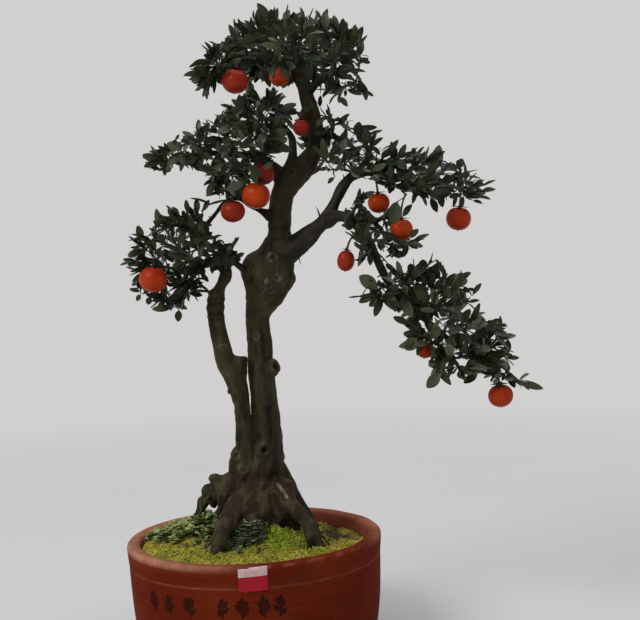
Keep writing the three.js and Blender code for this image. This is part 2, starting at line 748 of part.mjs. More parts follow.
// Everything placed so far, for keeping later leaves clear of it.
const placed = [];
function place(node, solid) {
  placed.push({ node, solid, box: solid.boundingBox() });
}
const boxesNear = (a, b) => [0, 1, 2].every((n) => a.min[n] < b.max[n] + 1 && b.min[n] < a.max[n] + 1);
const OWN_GAP = 0.15; // between two leaves of one spray
const OTHER_GAP = 0.45; // between a leaf and another node

function hasRoom(node, solid, carrier) {
  const box = solid.boundingBox();
  return !placed.some((item) => {
    if (item.solid === carrier || !boxesNear(box, item.box)) return false;
    return item.solid.minGap(solid, 1) < (item.node === node ? OWN_GAP : OTHER_GAP);
  });
}

// The main twig of a spray runs from inside its limb through its path.
function mainTwig(spray, key) {
  const root = onLimb(LIMBS[spray.limb], spray.at);
  const curve = new THREE.CatmullRomCurve3([root.point, ...spray.path.map(vec)], false, "centripetal");
  const length = curve.getLength();
  const baseRadius = Math.min(TWIG_BASE_RADIUS, 0.85 * root.radius);
  const radiusAt = (share) => THREE.MathUtils.lerp(baseRadius, TWIG_TIP_RADIUS, share);
  const stub = (root.radius + 5) / length;
  const twig = { curve, length, radiusAt, face: faceOf(key), stub, from: stub + GAP / length };
  return { ...twig, first: ringOn(twig, twig.from) };
}

const ringOn = (twig, share) =>
  twigSection(twig.curve.getPointAt(share), twig.curve.getTangentAt(share), twig.face, twig.radiusAt(share));

// Spreads the sprouting places of a twig so that each has a short stretch of its own.
function spreadOut(groups, length, from) {
  const stretch = SPROUT_STRETCH / length;
  let reached = from;
  for (const group of [...groups].sort((a, b) => a.share - b.share)) {
    group.share = Math.max(group.share, reached + stretch);
    reached = group.share + stretch / 2;
  }
  return groups.sort((a, b) => a.share - b.share);
}

// The rings on both sides of a sprouting place.
function stretchRings(twig, share) {
  const half = SPROUT_STRETCH / 2 / twig.length;
  return [share - half, share + half].map((at) => ringOn(twig, at));
}

// The tube of a twig without its sprouts, for testing what lies near it.
const bareTwig = (twig, first, groups) =>
  loft([first, ...groups.flatMap(({ share }) => stretchRings(twig, share)), ringOn(twig, 1)]);

// The way a twig's leaves face: mostly up, and a little to one side.
function faceOf(...keys) {
  const turn = 6.28 * draw(...keys, 3);
  return new THREE.Vector3(0.5 * Math.cos(turn), 0.5 * Math.sin(turn), 0.85);
}

// A side twig leaves the main one a little before the point nearest its tip.
function sideShare(main, tip) {
  const samples = Array.from({ length: 21 }, (_, n) => main.curve.getPointAt(n / 20).distanceTo(vec(tip)));
  const reach = Math.min(...samples);
  const nearest = samples.indexOf(reach) / 20;
  return THREE.MathUtils.clamp(nearest - (0.55 * reach) / main.length, main.stub + 0.06, 0.92);
}

function sideTwig(main, share, tip, ...keys) {
  const end = vec(tip);
  const start = main.curve.getPointAt(share);
  const bend = start.clone().addScaledVector(main.curve.getTangentAt(share), 0.35 * start.distanceTo(end));
  const curve = new THREE.QuadraticBezierCurve3(start, bend, end);
  const face = faceOf(...keys);
  const first = sproutRing(start, curve.getTangentAt(0.15), face, SIDE_TWIG_RADIUS);
  const radiusAt = (along) => THREE.MathUtils.lerp(SIDE_TWIG_RADIUS, TWIG_TIP_RADIUS, along);
  const leaves = keys[1] % 2 === 0 ? 2 : 1;
  const groups = [{ share: SIDE_LEAVES, leaves }];
  return { curve, length: curve.getLength(), radiusAt, face, first, groups };
}

// The leaf that ends a twig.
function tipLeaf(twig, keys, trial) {
  const jitter = (n) => 0.5 * trial * (draw(...keys, n, trial) - 0.5);
  const lift = new THREE.Vector3(jitter(11), jitter(12), 0.15 + jitter(13));
  const direction = twig.curve.getTangentAt(1).add(lift).normalize();
  const length = LEAF_LENGTH * (0.85 + 0.25 * draw(...keys, 4)) * 0.97 ** trial;
  const droop = 0.06 + 0.1 * draw(...keys, 5);
  return { base: twig.curve.getPointAt(1), direction, face: twig.face, length, droop };
}

// A leaf beside a twig: one of a pair on its two sides, leaning forward, with its face up,
// and a little different from the next. The trial number gives another such leaf where the
// first has no room.
function sideLeaf(twig, share, keys, trial) {
  const base = twig.curve.getPointAt(share);
  const tangent = twig.curve.getTangentAt(share);
  const normal = twig.face.clone().addScaledVector(tangent, -twig.face.dot(tangent)).normalize();
  const across = tangent.clone().cross(normal);
  const chance = (n) => draw(...keys, n, trial);
  const side = keys[2] % 2;
  const turn = side * Math.PI + 1.3 * (draw(keys[0], keys[1], 9) - 0.5) + 0.9 * trial * (chance(6) - 0.5);
  const lean = THREE.MathUtils.degToRad(54 + 16 * (chance(1) - 0.5));
  const direction = tangent.clone().multiplyScalar(Math.cos(lean))
    .addScaledVector(across, Math.sin(lean) * Math.cos(turn))
    .addScaledVector(normal, Math.sin(lean) * Math.sin(turn))
    .addScaledVector(UP, 0.15)
    .normalize();
  const face = UP.clone().multiplyScalar(0.8).addScaledVector(tangent, 0.6 + 0.3 * (chance(2) - 0.5));
  face.addScaledVector(across, 0.5 * (chance(3) - 0.5));
  const length = LEAF_LENGTH * (0.82 + 0.3 * chance(4));
  return { base, direction, face, length, droop: 0.08 + 0.1 * chance(5) };
}

// The blade of a leaf with the ring that it grows from, for trying whether it has room.
const bladeSolid = (first, leaf) => loft([first, ...leafRings(leaf)]);
const stalkRing = (leaf) => sproutRing(leaf.base, leaf.direction, leaf.face, LEAF_STALK_RADIUS);

// Grows a twig on a skin from its first ring. The sprouts of a group stand round one short
// stretch, each on the side that faces its own way.
function growTwig(skin, first, twig, groups, ending) {
  let last = skin.ring(first);
  const start = last;
  for (const { share, sprouts } of groups) {
    const [before, after] = stretchRings(twig, share).map((corners) => skin.ring(corners));
    skin.panels(last, before).forEach((panel) => skin.panel(panel));
    const free = skin.panels(before, after);
    for (const { direction, grow } of sprouts) {
      const outward = ([a, b, c]) => {
        const [pa, pb, pc] = [a, b, c].map((n) => skin.points[n]);
        return pb.clone().sub(pa).cross(pc.clone().sub(pa)).normalize().dot(direction);
      };
      const chosen = free.reduce((best, panel) => (outward(panel) > outward(best) ? panel : best));
      free.splice(free.indexOf(chosen), 1);
      grow(chosen);
    }
    free.forEach((panel) => skin.panel(panel));
    last = after;
  }
  const tip = skin.ring(ringOn(twig, 1));
  skin.panels(last, tip).forEach((panel) => skin.panel(panel));
  if (ending) growLeaf(skin, tip, ending);
  else skin.index.push(...tip);
  return start;
}

function growLeaf(skin, first, leaf) {
  let last = first;
  for (const corners of leafRings(leaf)) {
    const next = skin.ring(corners);
    skin.panels(last, next).forEach((panel) => skin.panel(panel));
    last = next;
  }
}

const leafSprout = (skin, leaf) => ({
  direction: leaf.direction,
  grow: (panel) => {
    const ring = skin.ring(stalkRing(leaf));
    skin.sprout(panel, ring);
    growLeaf(skin, ring, leaf);
  },
});

// Wood: limbs and roots, the stub of each spray, knots and thorns.
const woodParts = Object.entries(LIMBS).map(([, limb]) => limbSolid(limb));
for (const { centre, size } of KNOTS) {
  woodParts.push(solidOf(new THREE.SphereGeometry(1, 7, 4).scale(...size).translate(...centre)));
}
for (const name of THORNY_LIMBS) {
  const curve = limbCurve(LIMBS[name]);
  const count = Math.floor(curve.getLength() / THORN_PITCH);
  for (let n = 1; n < count; n++) {
    const along = n / count;
    const { point, tangent, radius } = onLimb(LIMBS[name], along * (LIMBS[name].points.length - 1));
    const { side, other } = framesAlong([point.clone().sub(tangent), point])[1];
    const turn = n * GOLDEN_ANGLE;
    const outward = side.multiplyScalar(Math.cos(turn)).addScaledVector(other, Math.sin(turn));
    outward.addScaledVector(tangent, 0.4).normalize();
    const tip = point.clone().addScaledVector(outward, radius + THORN_LENGTH);
    woodParts.push(tube([point, tip], [THORN_RADIUS, 0.35], 3));
  }
}

// A fruit's stalk bends over from what carries it to the top of the fruit.
function stalkSolid(curve, fruit, axis) {
  const crown = vec(fruit.centre).addScaledVector(axis, fruit.radius * fruit.tall * 0.95 + GAP + 1.6);
  const above = crown.clone().addScaledVector(axis, 12);
  const samples = Array.from({ length: 41 }, (_, n) => curve.getPointAt(n / 40));
  const nearer = (best, point) => (point.distanceTo(above) < best.distanceTo(above) ? point : best);
  const holder = samples.reduce(nearer);
  const bend = crown.clone().addScaledVector(axis, 0.6 * crown.distanceTo(holder));
  const stalk = new THREE.QuadraticBezierCurve3(holder, bend, crown);
  return tube(stalk.getPoints(2), [1.2, PEDICEL_RADIUS, PEDICEL_RADIUS + 0.2], 3);
}

const sprayTwigs = Object.entries(SPRAYS).map(([name, spray], key) => {
  const main = mainTwig(spray, key);
  const groups = spray.tips.map((tip, n) => ({ share: sideShare(main, tip), tip, n, leaves: 0 }));
  if (spray.tips.length < 3) groups.push({ share: MAIN_LEAVES, leaves: 1 });
  main.groups = spreadOut(groups, main.length, main.from);
  for (const group of groups.filter(({ tip }) => tip)) {
    group.twig = sideTwig(main, group.share, group.tip, key, group.n);
  }
  woodParts.push(loft([ringOn(main, 0), ringOn(main, main.stub)]));
  return { name: "spray_" + name, key, main, extras: [] };
});

const fruitNodes = FRUITS.map((fruit, n) => {
  const lean = new THREE.Vector3(draw(n, 7) - 0.5, draw(n, 8) - 0.5, 0).multiplyScalar(0.35);
  const axis = UP.clone().add(lean).normalize();
  const turn = new THREE.Quaternion().setFromUnitVectors(UP, axis);
  const put = (solid, offset) => {
    const place = vec(fruit.centre).addScaledVector(axis, offset);
    const matrix = new THREE.Matrix4().makeRotationFromQuaternion(turn).setPosition(place);
    return solid.transform(matrix.elements);
  };
  const crownHeight = fruit.radius * fruit.tall * 0.95 + GAP + 0.1;
  const calyx = put(calyxSolid(fruit.radius * CALYX_RADIUS), crownHeight);
  const holder = fruit.spray && sprayTwigs.find((spray) => spray.name === "spray_" + fruit.spray);
  const curve = holder ? holder.main.curve : limbCurve(LIMBS[fruit.limb]);
  const carrier = holder ? holder.extras : woodParts;
  carrier.push(stalkSolid(curve, fruit, axis), calyx);
  const name = "fruit_" + String(n + 1).padStart(2, "0");
  return { name, solid: put(fruitSolid(fruit.radius, fruit.tall), 0) };
});

for (const solid of woodParts) place("wood", solid);
for (const { name, solid } of fruitNodes) place(name, solid);
for (const { name, main, extras } of sprayTwigs) {
  for (const twig of [main, ...main.groups.flatMap((group) => group.twig ?? [])]) {
    twig.solid = bareTwig(twig, twig.first, twig.groups);
    place(name, twig.solid);
  }
  for (const solid of extras) place(name, solid);
}

// Leaves. The first of a few trials that has room is kept, the tips of all twigs first.
const MOST_TRIALS = 9;
function fittingLeaf(node, firstRing, carrier, leafAt) {
  for (let trial = 0; trial < MOST_TRIALS; trial++) {
    const leaf = leafAt(trial);
    const blade = bladeSolid(firstRing(leaf), leaf);
    if (!hasRoom(node, blade, carrier)) continue;
    place(node, blade);
    return leaf;
  }
  return null;
}

for (const { name, key, main } of sprayTwigs) {
  const sides = main.groups.filter((group) => group.twig);
  for (const { twig, n } of [{ twig: main, n: -1 }, ...sides]) {
    const tipRing = () => ringOn(twig, 1);
    twig.ending = fittingLeaf(name, tipRing, twig.solid, (trial) => tipLeaf(twig, [key, n + 1], trial));
  }
}

for (const { name, key, main } of sprayTwigs) {
  const skin = new Skin();
  const leafSprouts = (twig, group, twigKey) => {
    const leaves = Array.from({ length: group.leaves }, (_, sideKey) => {
      const leafAt = (trial) => sideLeaf(twig, group.share, [key, twigKey, sideKey], trial);
      return fittingLeaf(name, stalkRing, null, leafAt);
    });
    return leaves.filter(Boolean).map((leaf) => leafSprout(skin, leaf));
  };

  for (const group of main.groups) {
    group.sprouts = leafSprouts(main, group, 0);
    if (!group.twig) continue;
    const side = group.twig;
    side.groups[0].sprouts = leafSprouts(side, side.groups[0], group.n + 1);
    const grow = (panel) => skin.sprout(panel, growTwig(skin, side.first, side, side.groups, side.ending));
    group.sprouts.push({ direction: side.curve.getTangentAt(0.15), grow });
  }
  const base = growTwig(skin, main.first, main, main.groups, main.ending);
  skin.index.push(base[0], base[2], base[1]);
  main.skin = skin.solid();
}

const bonsai = new THREE.Group();
bonsai.name = "persimmon_bonsai";
function addNode(name, solid, finish) {
  const mesh = new THREE.Mesh(geometryOf(solid), finish);
  mesh.name = name;
  bonsai.add(mesh);
}

addNode("pot", potSolid(), TERRACOTTA);
addNode("soil", soilSolid(), MOSS);
addNode("label", labelSolid(), PAPER);
addNode("wood", mainBody(join(woodParts)), BARK);
for (const { name, main, extras } of sprayTwigs) {
  addNode(name, mainBody(join([main.skin, ...extras])), LEAF);
}
for (const { name, solid } of fruitNodes) addNode(name, solid, FRUIT);

export default bonsai;
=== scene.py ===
import math

import bpy
import numpy as np
from mathutils import Matrix


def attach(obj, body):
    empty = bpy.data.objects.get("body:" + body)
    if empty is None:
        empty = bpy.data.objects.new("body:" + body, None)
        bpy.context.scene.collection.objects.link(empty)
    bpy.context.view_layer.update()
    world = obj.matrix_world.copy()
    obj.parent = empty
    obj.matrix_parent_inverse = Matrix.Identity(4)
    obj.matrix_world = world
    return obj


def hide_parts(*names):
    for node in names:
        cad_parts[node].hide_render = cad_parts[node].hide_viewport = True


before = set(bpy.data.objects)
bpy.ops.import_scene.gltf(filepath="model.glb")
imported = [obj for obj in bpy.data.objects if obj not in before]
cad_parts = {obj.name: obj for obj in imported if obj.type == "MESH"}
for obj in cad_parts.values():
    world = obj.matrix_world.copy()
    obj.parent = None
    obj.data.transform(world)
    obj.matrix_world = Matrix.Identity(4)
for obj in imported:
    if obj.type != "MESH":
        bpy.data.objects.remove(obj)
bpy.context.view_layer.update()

UP = np.array([0.0, 0.0, 1.0])
MM = 0.001
GOLDEN_ANGLE = math.radians(137.5)
EYE = np.array([0.0, -1500.0, 477.0])  # where the photograph was taken from

# Limbs and roots: points on the axis, and the radius there.
LIMBS = {
    "trunk": [
        (2, -5, 108, 40), (4, -5, 140, 35.5), (5, -1, 163, 31.2), (7, 3, 186, 28.9),
        (13, 4, 211, 24.1), (17, 4, 238, 19.5), (19, 4, 272, 16), (17, 4, 307, 14.8),
        (17, 4, 347, 13.9), (17.5, 3, 379, 14.6), (26.2, 0, 402, 23.6), (31.5, -2, 424, 30.5),
        (40, -2, 444, 21), (45.5, 0, 464, 13), (48, 4, 489, 13), (53, 6, 512, 13.6),
        (65, 8, 531, 15.9), (81, 10, 545, 12.5), (92, 10, 564, 9.1), (94, 8, 584, 8.5),
        (88, 4, 607, 9), (83, 0, 629, 8), (81, 0, 654, 6.3), (80, -2, 666, 3.8),
    ],
    "second": [
        (-5, -6, 196, 15), (-5, -10, 230, 11.3), (-6, -10, 259, 9.3), (-7, -10, 281, 9.6),
        (-11, -10, 302, 11.8), (-21, -9, 323, 11.3), (-25, -8, 341, 10.4), (-29, -8, 364, 9.7),
        (-30, -6, 385, 9.7), (-28, -4, 399, 9), (-23, -2, 411, 5.7), (-17, 0, 422, 7),
        (-16, 2, 436, 5),
    ],
    "second_stub": [(-12, -10, 288, 10.2), (-8, -10, 313, 9.6), (-6, -10, 331, 8.5)],
    "east": [
        (45, -6, 446, 13.5), (64, -12, 453, 11.8), (82, -20, 467, 9.8), (100, -28, 483, 8.3),
        (109, -30, 500, 6.6), (118, -26, 515, 6.2), (129, -20, 526, 6), (143, -14, 531, 5.6),
        (160, -8, 529, 5.2), (186, -2, 523, 4.3), (215, 4, 517, 3.4), (242, 8, 512, 2.7),
    ],
    "cascade": [
        (97, -28, 479, 7.2), (112, -42, 483, 6.2), (128, -54, 475, 6.1), (138, -62, 458, 5.7),
        (147, -66, 438, 5), (155, -66, 419, 4.6), (165, -62, 400, 4.2), (182, -56, 381, 3.7),
        (204, -50, 362, 3.3), (228, -46, 340, 2.9), (253, -42, 323, 2.5), (271, -40, 308, 2.2),
    ],
    "west_low": [
        (39, 0, 487, 5.7), (27, -10, 493, 3.6), (14, -20, 500, 2.9), (0, -26, 509, 2.5),
        (-13, -26, 505, 2.4), (-24, -22, 493, 2.6), (-36, -18, 480, 2.7), (-48, -14, 467, 2.5),
        (-63, -10, 454, 2),
    ],
    "burl_spur": [(11, -6, 425, 5.6), (0, -16, 432, 3.8), (-11, -22, 442, 2.9)],
    "west_mid": [
        (54, 6, 527, 7.9), (42, 0, 543, 5.6), (22, -8, 554, 4.5), (-3, -14, 558, 3.8),
        (-29, -18, 560, 3.1), (-56, -20, 558, 2.4),
    ],
    "north_mid": [
        (62, 10, 536, 6.8), (66, 12, 556, 5.1), (66, 18, 575, 4.1), (54, 30, 592, 3.4),
        (36, 40, 601, 2.8),
    ],
    "crown_west": [
        (83, 0, 645, 5.6), (65, -10, 657, 4.5), (43, -18, 664, 3.5), (18, -22, 662, 2.9),
        (-2, -24, 656, 2.2),
    ],
    "crown_east": [
        (84, 0, 624, 5.6), (100, -8, 636, 4), (118, -14, 644, 3.3), (133, -18, 647, 2.4),
    ],
    "crown_back": [(81, 2, 640, 5.6), (92, 26, 659, 4.1), (102, 46, 670, 3)],
    "crown_front": [(83, -2, 658, 4.2), (74, -24, 664, 3.4), (67, -42, 671, 2.4)],
    "mid_back": [(53, 8, 500, 6.8), (64, 34, 516, 5.1), (80, 62, 530, 4), (99, 84, 542, 3.1)],
    "mid_east": [
        (91, 8, 569, 5.7), (106, -2, 574, 3.8), (121, -12, 568, 3.1), (134, -18, 558, 2.5),
    ],
    "second_top_west": [
        (-17, 2, 429, 4.5), (-32, 0, 439, 3.6), (-47, -4, 437, 3.2), (-66, -8, 432, 2.7),
    ],
    "root_west": [
        (-4, 2, 190, 16), (-20, 6, 185, 13.8), (-37, 14, 179, 11.5), (-48, 22, 171, 8.7),
        (-55, 28, 160, 6.4), (-64, 34, 146, 4.7), (-72, 36, 133, 3.7), (-76, 37, 123, 3.2),
    ],
    "root_front": [
        (-2, -10, 176, 17.1), (-14, -24, 168, 13.5), (-25, -38, 156, 11.7),
        (-33, -52, 144, 11.1), (-39, -67, 132, 9.6), (-44, -80, 121, 7.4), (-46, -87, 111, 6),
    ],
    "root_east": [
        (19, -4, 187, 16), (31, -14, 170, 13.1), (44, -24, 157, 11.3), (57, -34, 148, 9.7),
        (66, -46, 137, 7.4), (70, -56, 125, 5.8), (71, -62, 115, 4.5), (71, -65, 106, 4),
    ],
    "root_ridge": [
        (31, 6, 201, 9.2), (41, 10, 183, 7.5), (50, 14, 164, 6.4), (59, 18, 149, 4.9),
        (68, 20, 135, 4), (73, 20, 118, 3.5), (75, 20, 106, 3.2),
    ],
    "root_back": [
        (9, 16, 177, 16.2), (14, 40, 158, 12.9), (20, 64, 142, 9.6), (27, 84, 124, 6.8),
        (31, 92, 105, 5),
    ],
    "root_back_west": [
        (-6, 14, 170, 13), (-24, 38, 154, 10), (-40, 58, 138, 7), (-50, 70, 122, 5),
        (-54, 75, 106, 4),
    ],
    "root_mid": [
        (4, -16, 167, 13.6), (0, -32, 155, 7.9), (-6, -46, 143, 5.6), (-11, -56, 131, 4.4),
        (-14, -61, 114, 3.6),
    ],
    "root_claw": [
        (54, -30, 151, 5.6), (57, -46, 140, 4.5), (59, -58, 127, 3.8), (60, -64, 110, 3.3),
    ],
    "root_prop": [
        (-32, 8, 181, 5.7), (-37, 2, 169, 3.9), (-39, -2, 153, 3.2), (-40, -4, 136, 3),
        (-40, -5, 122, 2.8),
    ],
}

# Swellings round old pruning wounds: centre and half sizes.
KNOTS = [
    ((33, -21, 442), (7, 6, 6)),
    ((29, -25, 412), (9, 6, 8)),
    ((29, -6, 315), (8, 9, 10)),
    ((14, -17, 224), (9, 6, 9)),
    ((-14, -15, 219), (8, 7, 11)),
    ((-42, 8, 190), (9, 8, 7)),
]

# Leafy sprays: the limb, the place on it counted in points, the path and the tips of side twigs.
SPRAYS = {
    "crown_top": ("trunk", 23, [(80, -4, 678), (82, -2, 692)], [(49, -18, 692), (106, 10, 691)]),
    "crown_upper_west": ("crown_west", 1.8, [(40, -22, 680), (26, -22, 687)],
        [(17, -12, 675), (36, -8, 691)]),
    "crown_west": ("crown_west", 4, [(-12, -26, 651), (-21, -24, 643)],
        [(-4, -10, 666), (-14, -36, 661)]),
    "crown_east": ("crown_east", 1.6, [(121, 0, 664), (136, 6, 676)], [(124, 14, 687), (143, -6, 662)]),
    "crown_low_east": ("crown_east", 3, [(141, -12, 640), (145, -6, 632)],
        [(142, -30, 650), (129, 4, 629)]),
    "crown_front": ("crown_front", 2, [(59, -58, 669), (48, -74, 659)],
        [(75, -60, 677), (38, -56, 672), (82, -72, 658)]),
    "crown_back": ("crown_back", 2, [(109, 64, 681), (117, 82, 688)],
        [(98, 72, 694), (128, 72, 670), (84, 66, 672)]),
    "crown_back_west": ("crown_back", 1.1, [(74, 46, 676), (56, 66, 682)],
        [(62, 58, 694), (38, 54, 673)]),
    "north_mid": ("north_mid", 4, [(24, 44, 607), (12, 48, 613)],
        [(38, 56, 615), (2, 34, 600), (40, 12, 609)]),
    "west_mid_tip": ("west_mid", 5, [(-69, -22, 555), (-79, -24, 554)],
        [(-67, -34, 564), (-70, -12, 547)]),
    "west_mid_outer": ("west_mid", 4, [(-41, -30, 569), (-54, -34, 572)],
        [(-32, -42, 579), (-62, -46, 563)]),
    "west_mid_inner": ("west_mid", 2.8, [(-5, -30, 574), (-19, -38, 583)],
        [(-31, -28, 587), (0, -46, 590)]),
    "west_mid_back": ("west_mid", 3.4, [(-27, 14, 574), (-45, 34, 578)],
        [(-29, 40, 585), (-57, 32, 570)]),
    "west_mid_front": ("west_mid", 1.6, [(27, -34, 571), (14, -52, 579)],
        [(0, -58, 564), (32, -46, 587)]),
    "west_mid_low": ("west_mid", 2.4, [(3, -32, 541), (-8, -40, 533)],
        [(-23, -36, 538), (13, -46, 531)]),
    "mid_east_tip": ("mid_east", 3, [(145, -20, 560), (156, -20, 568)],
        [(133, -28, 575), (148, -10, 552)]),
    "mid_east_low": ("mid_east", 2, [(121, -26, 545), (115, -32, 530)],
        [(105, -24, 535), (131, -40, 535)]),
    "mid_east_up": ("mid_east", 1.1, [(113, -6, 585), (121, -8, 589)], [(108, 8, 595), (132, 4, 581)]),
    "mid_back": ("mid_back", 3, [(112, 98, 557), (126, 108, 569)], [(102, 112, 570), (131, 100, 549)]),
    "east_arch": ("east", 7.4, [(159, -16, 541), (173, -12, 544)], [(148, -28, 553), (187, -4, 541)]),
    "east_mid": ("east", 9.2, [(199, 0, 532), (214, 0, 537)], [(229, -6, 541), (203, 14, 544)]),
    "east_outer": ("east", 10.4, [(236, 14, 528), (249, 18, 532)], [(236, 28, 538), (258, 16, 526)]),
    "east_tip": ("east", 11, [(256, 6, 508), (268, 0, 510)], [(263, 14, 498), (259, -8, 518)]),
    "east_front": ("east", 8.6, [(179, -32, 511), (186, -48, 504)], [(200, -44, 512), (168, -52, 520)]),
    "east_back": ("east", 9.7, [(216, 36, 528), (238, 54, 527)], [(222, 58, 542), (240, 44, 513)]),
    "fork_up": ("cascade", 1.8, [(127, -60, 490), (134, -66, 495)], [(115, -70, 491)]),
    "fork_east": ("cascade", 3.1, [(157, -72, 453), (172, -74, 445)],
        [(183, -70, 455), (167, -66, 437)]),
    "fork_west": ("cascade", 3.6, [(137, -78, 441), (129, -86, 440)],
        [(139, -82, 430), (131, -80, 453)]),
    "fork_back": ("cascade", 2.5, [(150, -36, 476), (168, -22, 483)], [(165, -20, 468)]),
    "fall_west": ("cascade", 5.9, [(148, -72, 406), (138, -80, 407)],
        [(148, -78, 418), (148, -68, 392)]),
    "fall_up": ("cascade", 6.4, [(181, -54, 404), (191, -50, 413)], [(175, -64, 411), (206, -42, 409)]),
    "fall_mid": ("cascade", 7.5, [(211, -44, 394), (222, -40, 406)],
        [(239, -38, 397), (251, -30, 397), (214, -62, 380)]),
    "fall_east": ("cascade", 9, [(248, -38, 360), (269, -34, 357)],
        [(261, -28, 369), (277, -42, 346), (248, -64, 352)]),
    "fall_outer": ("cascade", 10.2, [(275, -32, 331), (287, -28, 337)],
        [(283, -22, 346), (287, -36, 320)]),
    "fall_tip": ("cascade", 11, [(288, -42, 296), (309, -42, 289)], [(297, -32, 306)]),
    "fall_low": ("cascade", 9.3, [(221, -60, 326), (208, -66, 312)],
        [(235, -62, 311), (197, -66, 348)]),
    "fall_back": ("cascade", 8.7, [(232, -10, 353), (254, 12, 350)], [(246, 14, 364), (260, 10, 336)]),
    "low_up": ("west_low", 6.2, [(-47, -28, 487), (-61, -34, 487)],
        [(-38, -26, 499), (-74, -34, 480), (-53, -44, 480)]),
    "low_out": ("west_low", 8, [(-82, -12, 462), (-101, -14, 468)], [(-96, 0, 474), (-103, -24, 455)]),
    "low_back": ("second_top_west", 2, [(-57, 22, 446), (-78, 42, 456)],
        [(-66, 46, 465), (-88, 40, 440)]),
    "low_tip": ("second_top_west", 3, [(-87, -16, 437), (-106, -26, 445)],
        [(-110, -14, 430), (-87, -42, 449), (-85, -18, 404)]),
    "low_spur": ("burl_spur", 2, [(-24, -26, 449), (-37, -36, 453), (-52, -48, 457)],
        [(-40, -50, 468), (-55, -50, 441), (-4, -20, 460), (-60, -22, 410)]),
}

# Fruits: centre, radius, height over width, and the limb or spray that each hangs from.
FRUITS = [
    ((5, -34, 636), 14.5, 0.93, "limb", "crown_west"),
    ((54, -16, 641), 11.1, 0.95, "limb", "crown_west"),
    ((76, -12, 584), 9.5, 0.98, "limb", "trunk"),
    ((30, -30, 534), 13.3, 0.92, "limb", "west_mid"),
    ((21, -46, 510), 15.6, 0.93, "spray", "west_mid_low"),
    ((-5, -46, 494), 13.3, 0.9, "limb", "west_low"),
    ((-96, -42, 424), 15.3, 0.93, "spray", "low_tip"),
    ((158, -22, 496), 12.3, 0.92, "limb", "east"),
    ((178, -56, 465), 13.1, 0.93, "spray", "east_front"),
    ((251, 0, 474), 14.4, 0.93, "spray", "east_tip"),
    ((116, -50, 434), 9.7, 1.2, "limb", "cascade"),
    ((199, -50, 331), 9.7, 0.95, "limb", "cascade"),
    ((282, -48, 275), 13.7, 0.93, "spray", "fall_tip"),
]

# The trunks and roots have a coarser skin than the thinner limbs.
STOUT_LIMBS = [name for name in LIMBS if name.startswith(("trunk", "second", "root")) and "top" not in name]
THIN_LIMBS = [name for name in LIMBS if name not in STOUT_LIMBS]


# Numbers

WORD = 2**32  # how many whole numbers 32 bits hold
DRAW_START = 2166136261
SCATTER = (16777619, 1540483477, 374761393, 668265263, 2246822519, 1274126177)  # odd, to mix the bits


def draw(*keys):
    """A repeatable draw between 0 and 1 from whole numbers that name what it is for."""
    state = DRAW_START
    for key in keys:
        state = ((state ^ (key + 1)) * SCATTER[0]) % WORD
        state ^= state >> 13
        state = (state * SCATTER[1]) % WORD
        state ^= state >> 15
    return state / WORD


def unit(vector):
    """The vector, or each of the rows, at a length of one."""
    vector = np.asarray(vector, float)
    return vector / np.maximum(np.linalg.norm(vector, axis=-1, keepdims=True), 1e-12)


def smoothstep(low, high, value):
    """Rises smoothly from 0 at low to 1 at high. It falls where low is the larger."""
    share = np.clip((value - low) / (high - low), 0, 1)
    return share * share * (3 - 2 * share)


def value_noise(points, seed):
    """Smooth noise from -1 to 1 on a lattice one unit wide."""
    cell = np.floor(points).astype(np.int64)
    inside = points - cell
    blend = inside * inside * (3 - 2 * inside)
    total = np.zeros(len(points))
    for corner in np.ndindex(2, 2, 2):
        at = (cell + corner).astype(np.uint32)
        state = at[:, 0] * np.uint32(SCATTER[2]) + at[:, 1] * np.uint32(SCATTER[3])
        state = state + at[:, 2] * np.uint32(SCATTER[4]) + np.uint32(seed * 40503 % WORD)
        state = (state ^ (state >> np.uint32(13))) * np.uint32(SCATTER[5])
        state = (state ^ (state >> np.uint32(15))) * np.uint32(SCATTER[4])
        state ^= state >> np.uint32(13)
        weight = np.prod(np.where(corner, blend, 1 - blend), axis=1)
        total += weight * (state / (WORD / 2) - 1)
    return total


def fractal(points, seed, octaves=3):
    """Layers of noise, each twice as fine and half as strong as the one before."""
    total = np.zeros(len(points))
    for octave in range(octaves):
        total += value_noise(points * 2**octave, seed + octave) / 2**octave
    return total


def flat(x, y):
    """Places on the level plane, as rows."""
    return np.column_stack([x, y, np.zeros(len(x))])


def segment_distance(points, start, end):
    """How far points are from the line between two places."""
    start, end = np.array(start, float), np.array(end, float)
    along = np.clip((points - start) @ (end - start) / ((end - start) @ (end - start)), 0, 1)
    return np.linalg.norm(points - (start + along[:, None] * (end - start)), axis=1)


def circle(size, shift=0):
    """Points of a level circle of radius 1."""
    turn = np.linspace(0, 2 * math.pi, size, endpoint=False) + shift
    return np.column_stack([np.cos(turn), np.sin(turn), np.zeros(size)])


# Lines through space

STEPS = 12  # samples between two given points
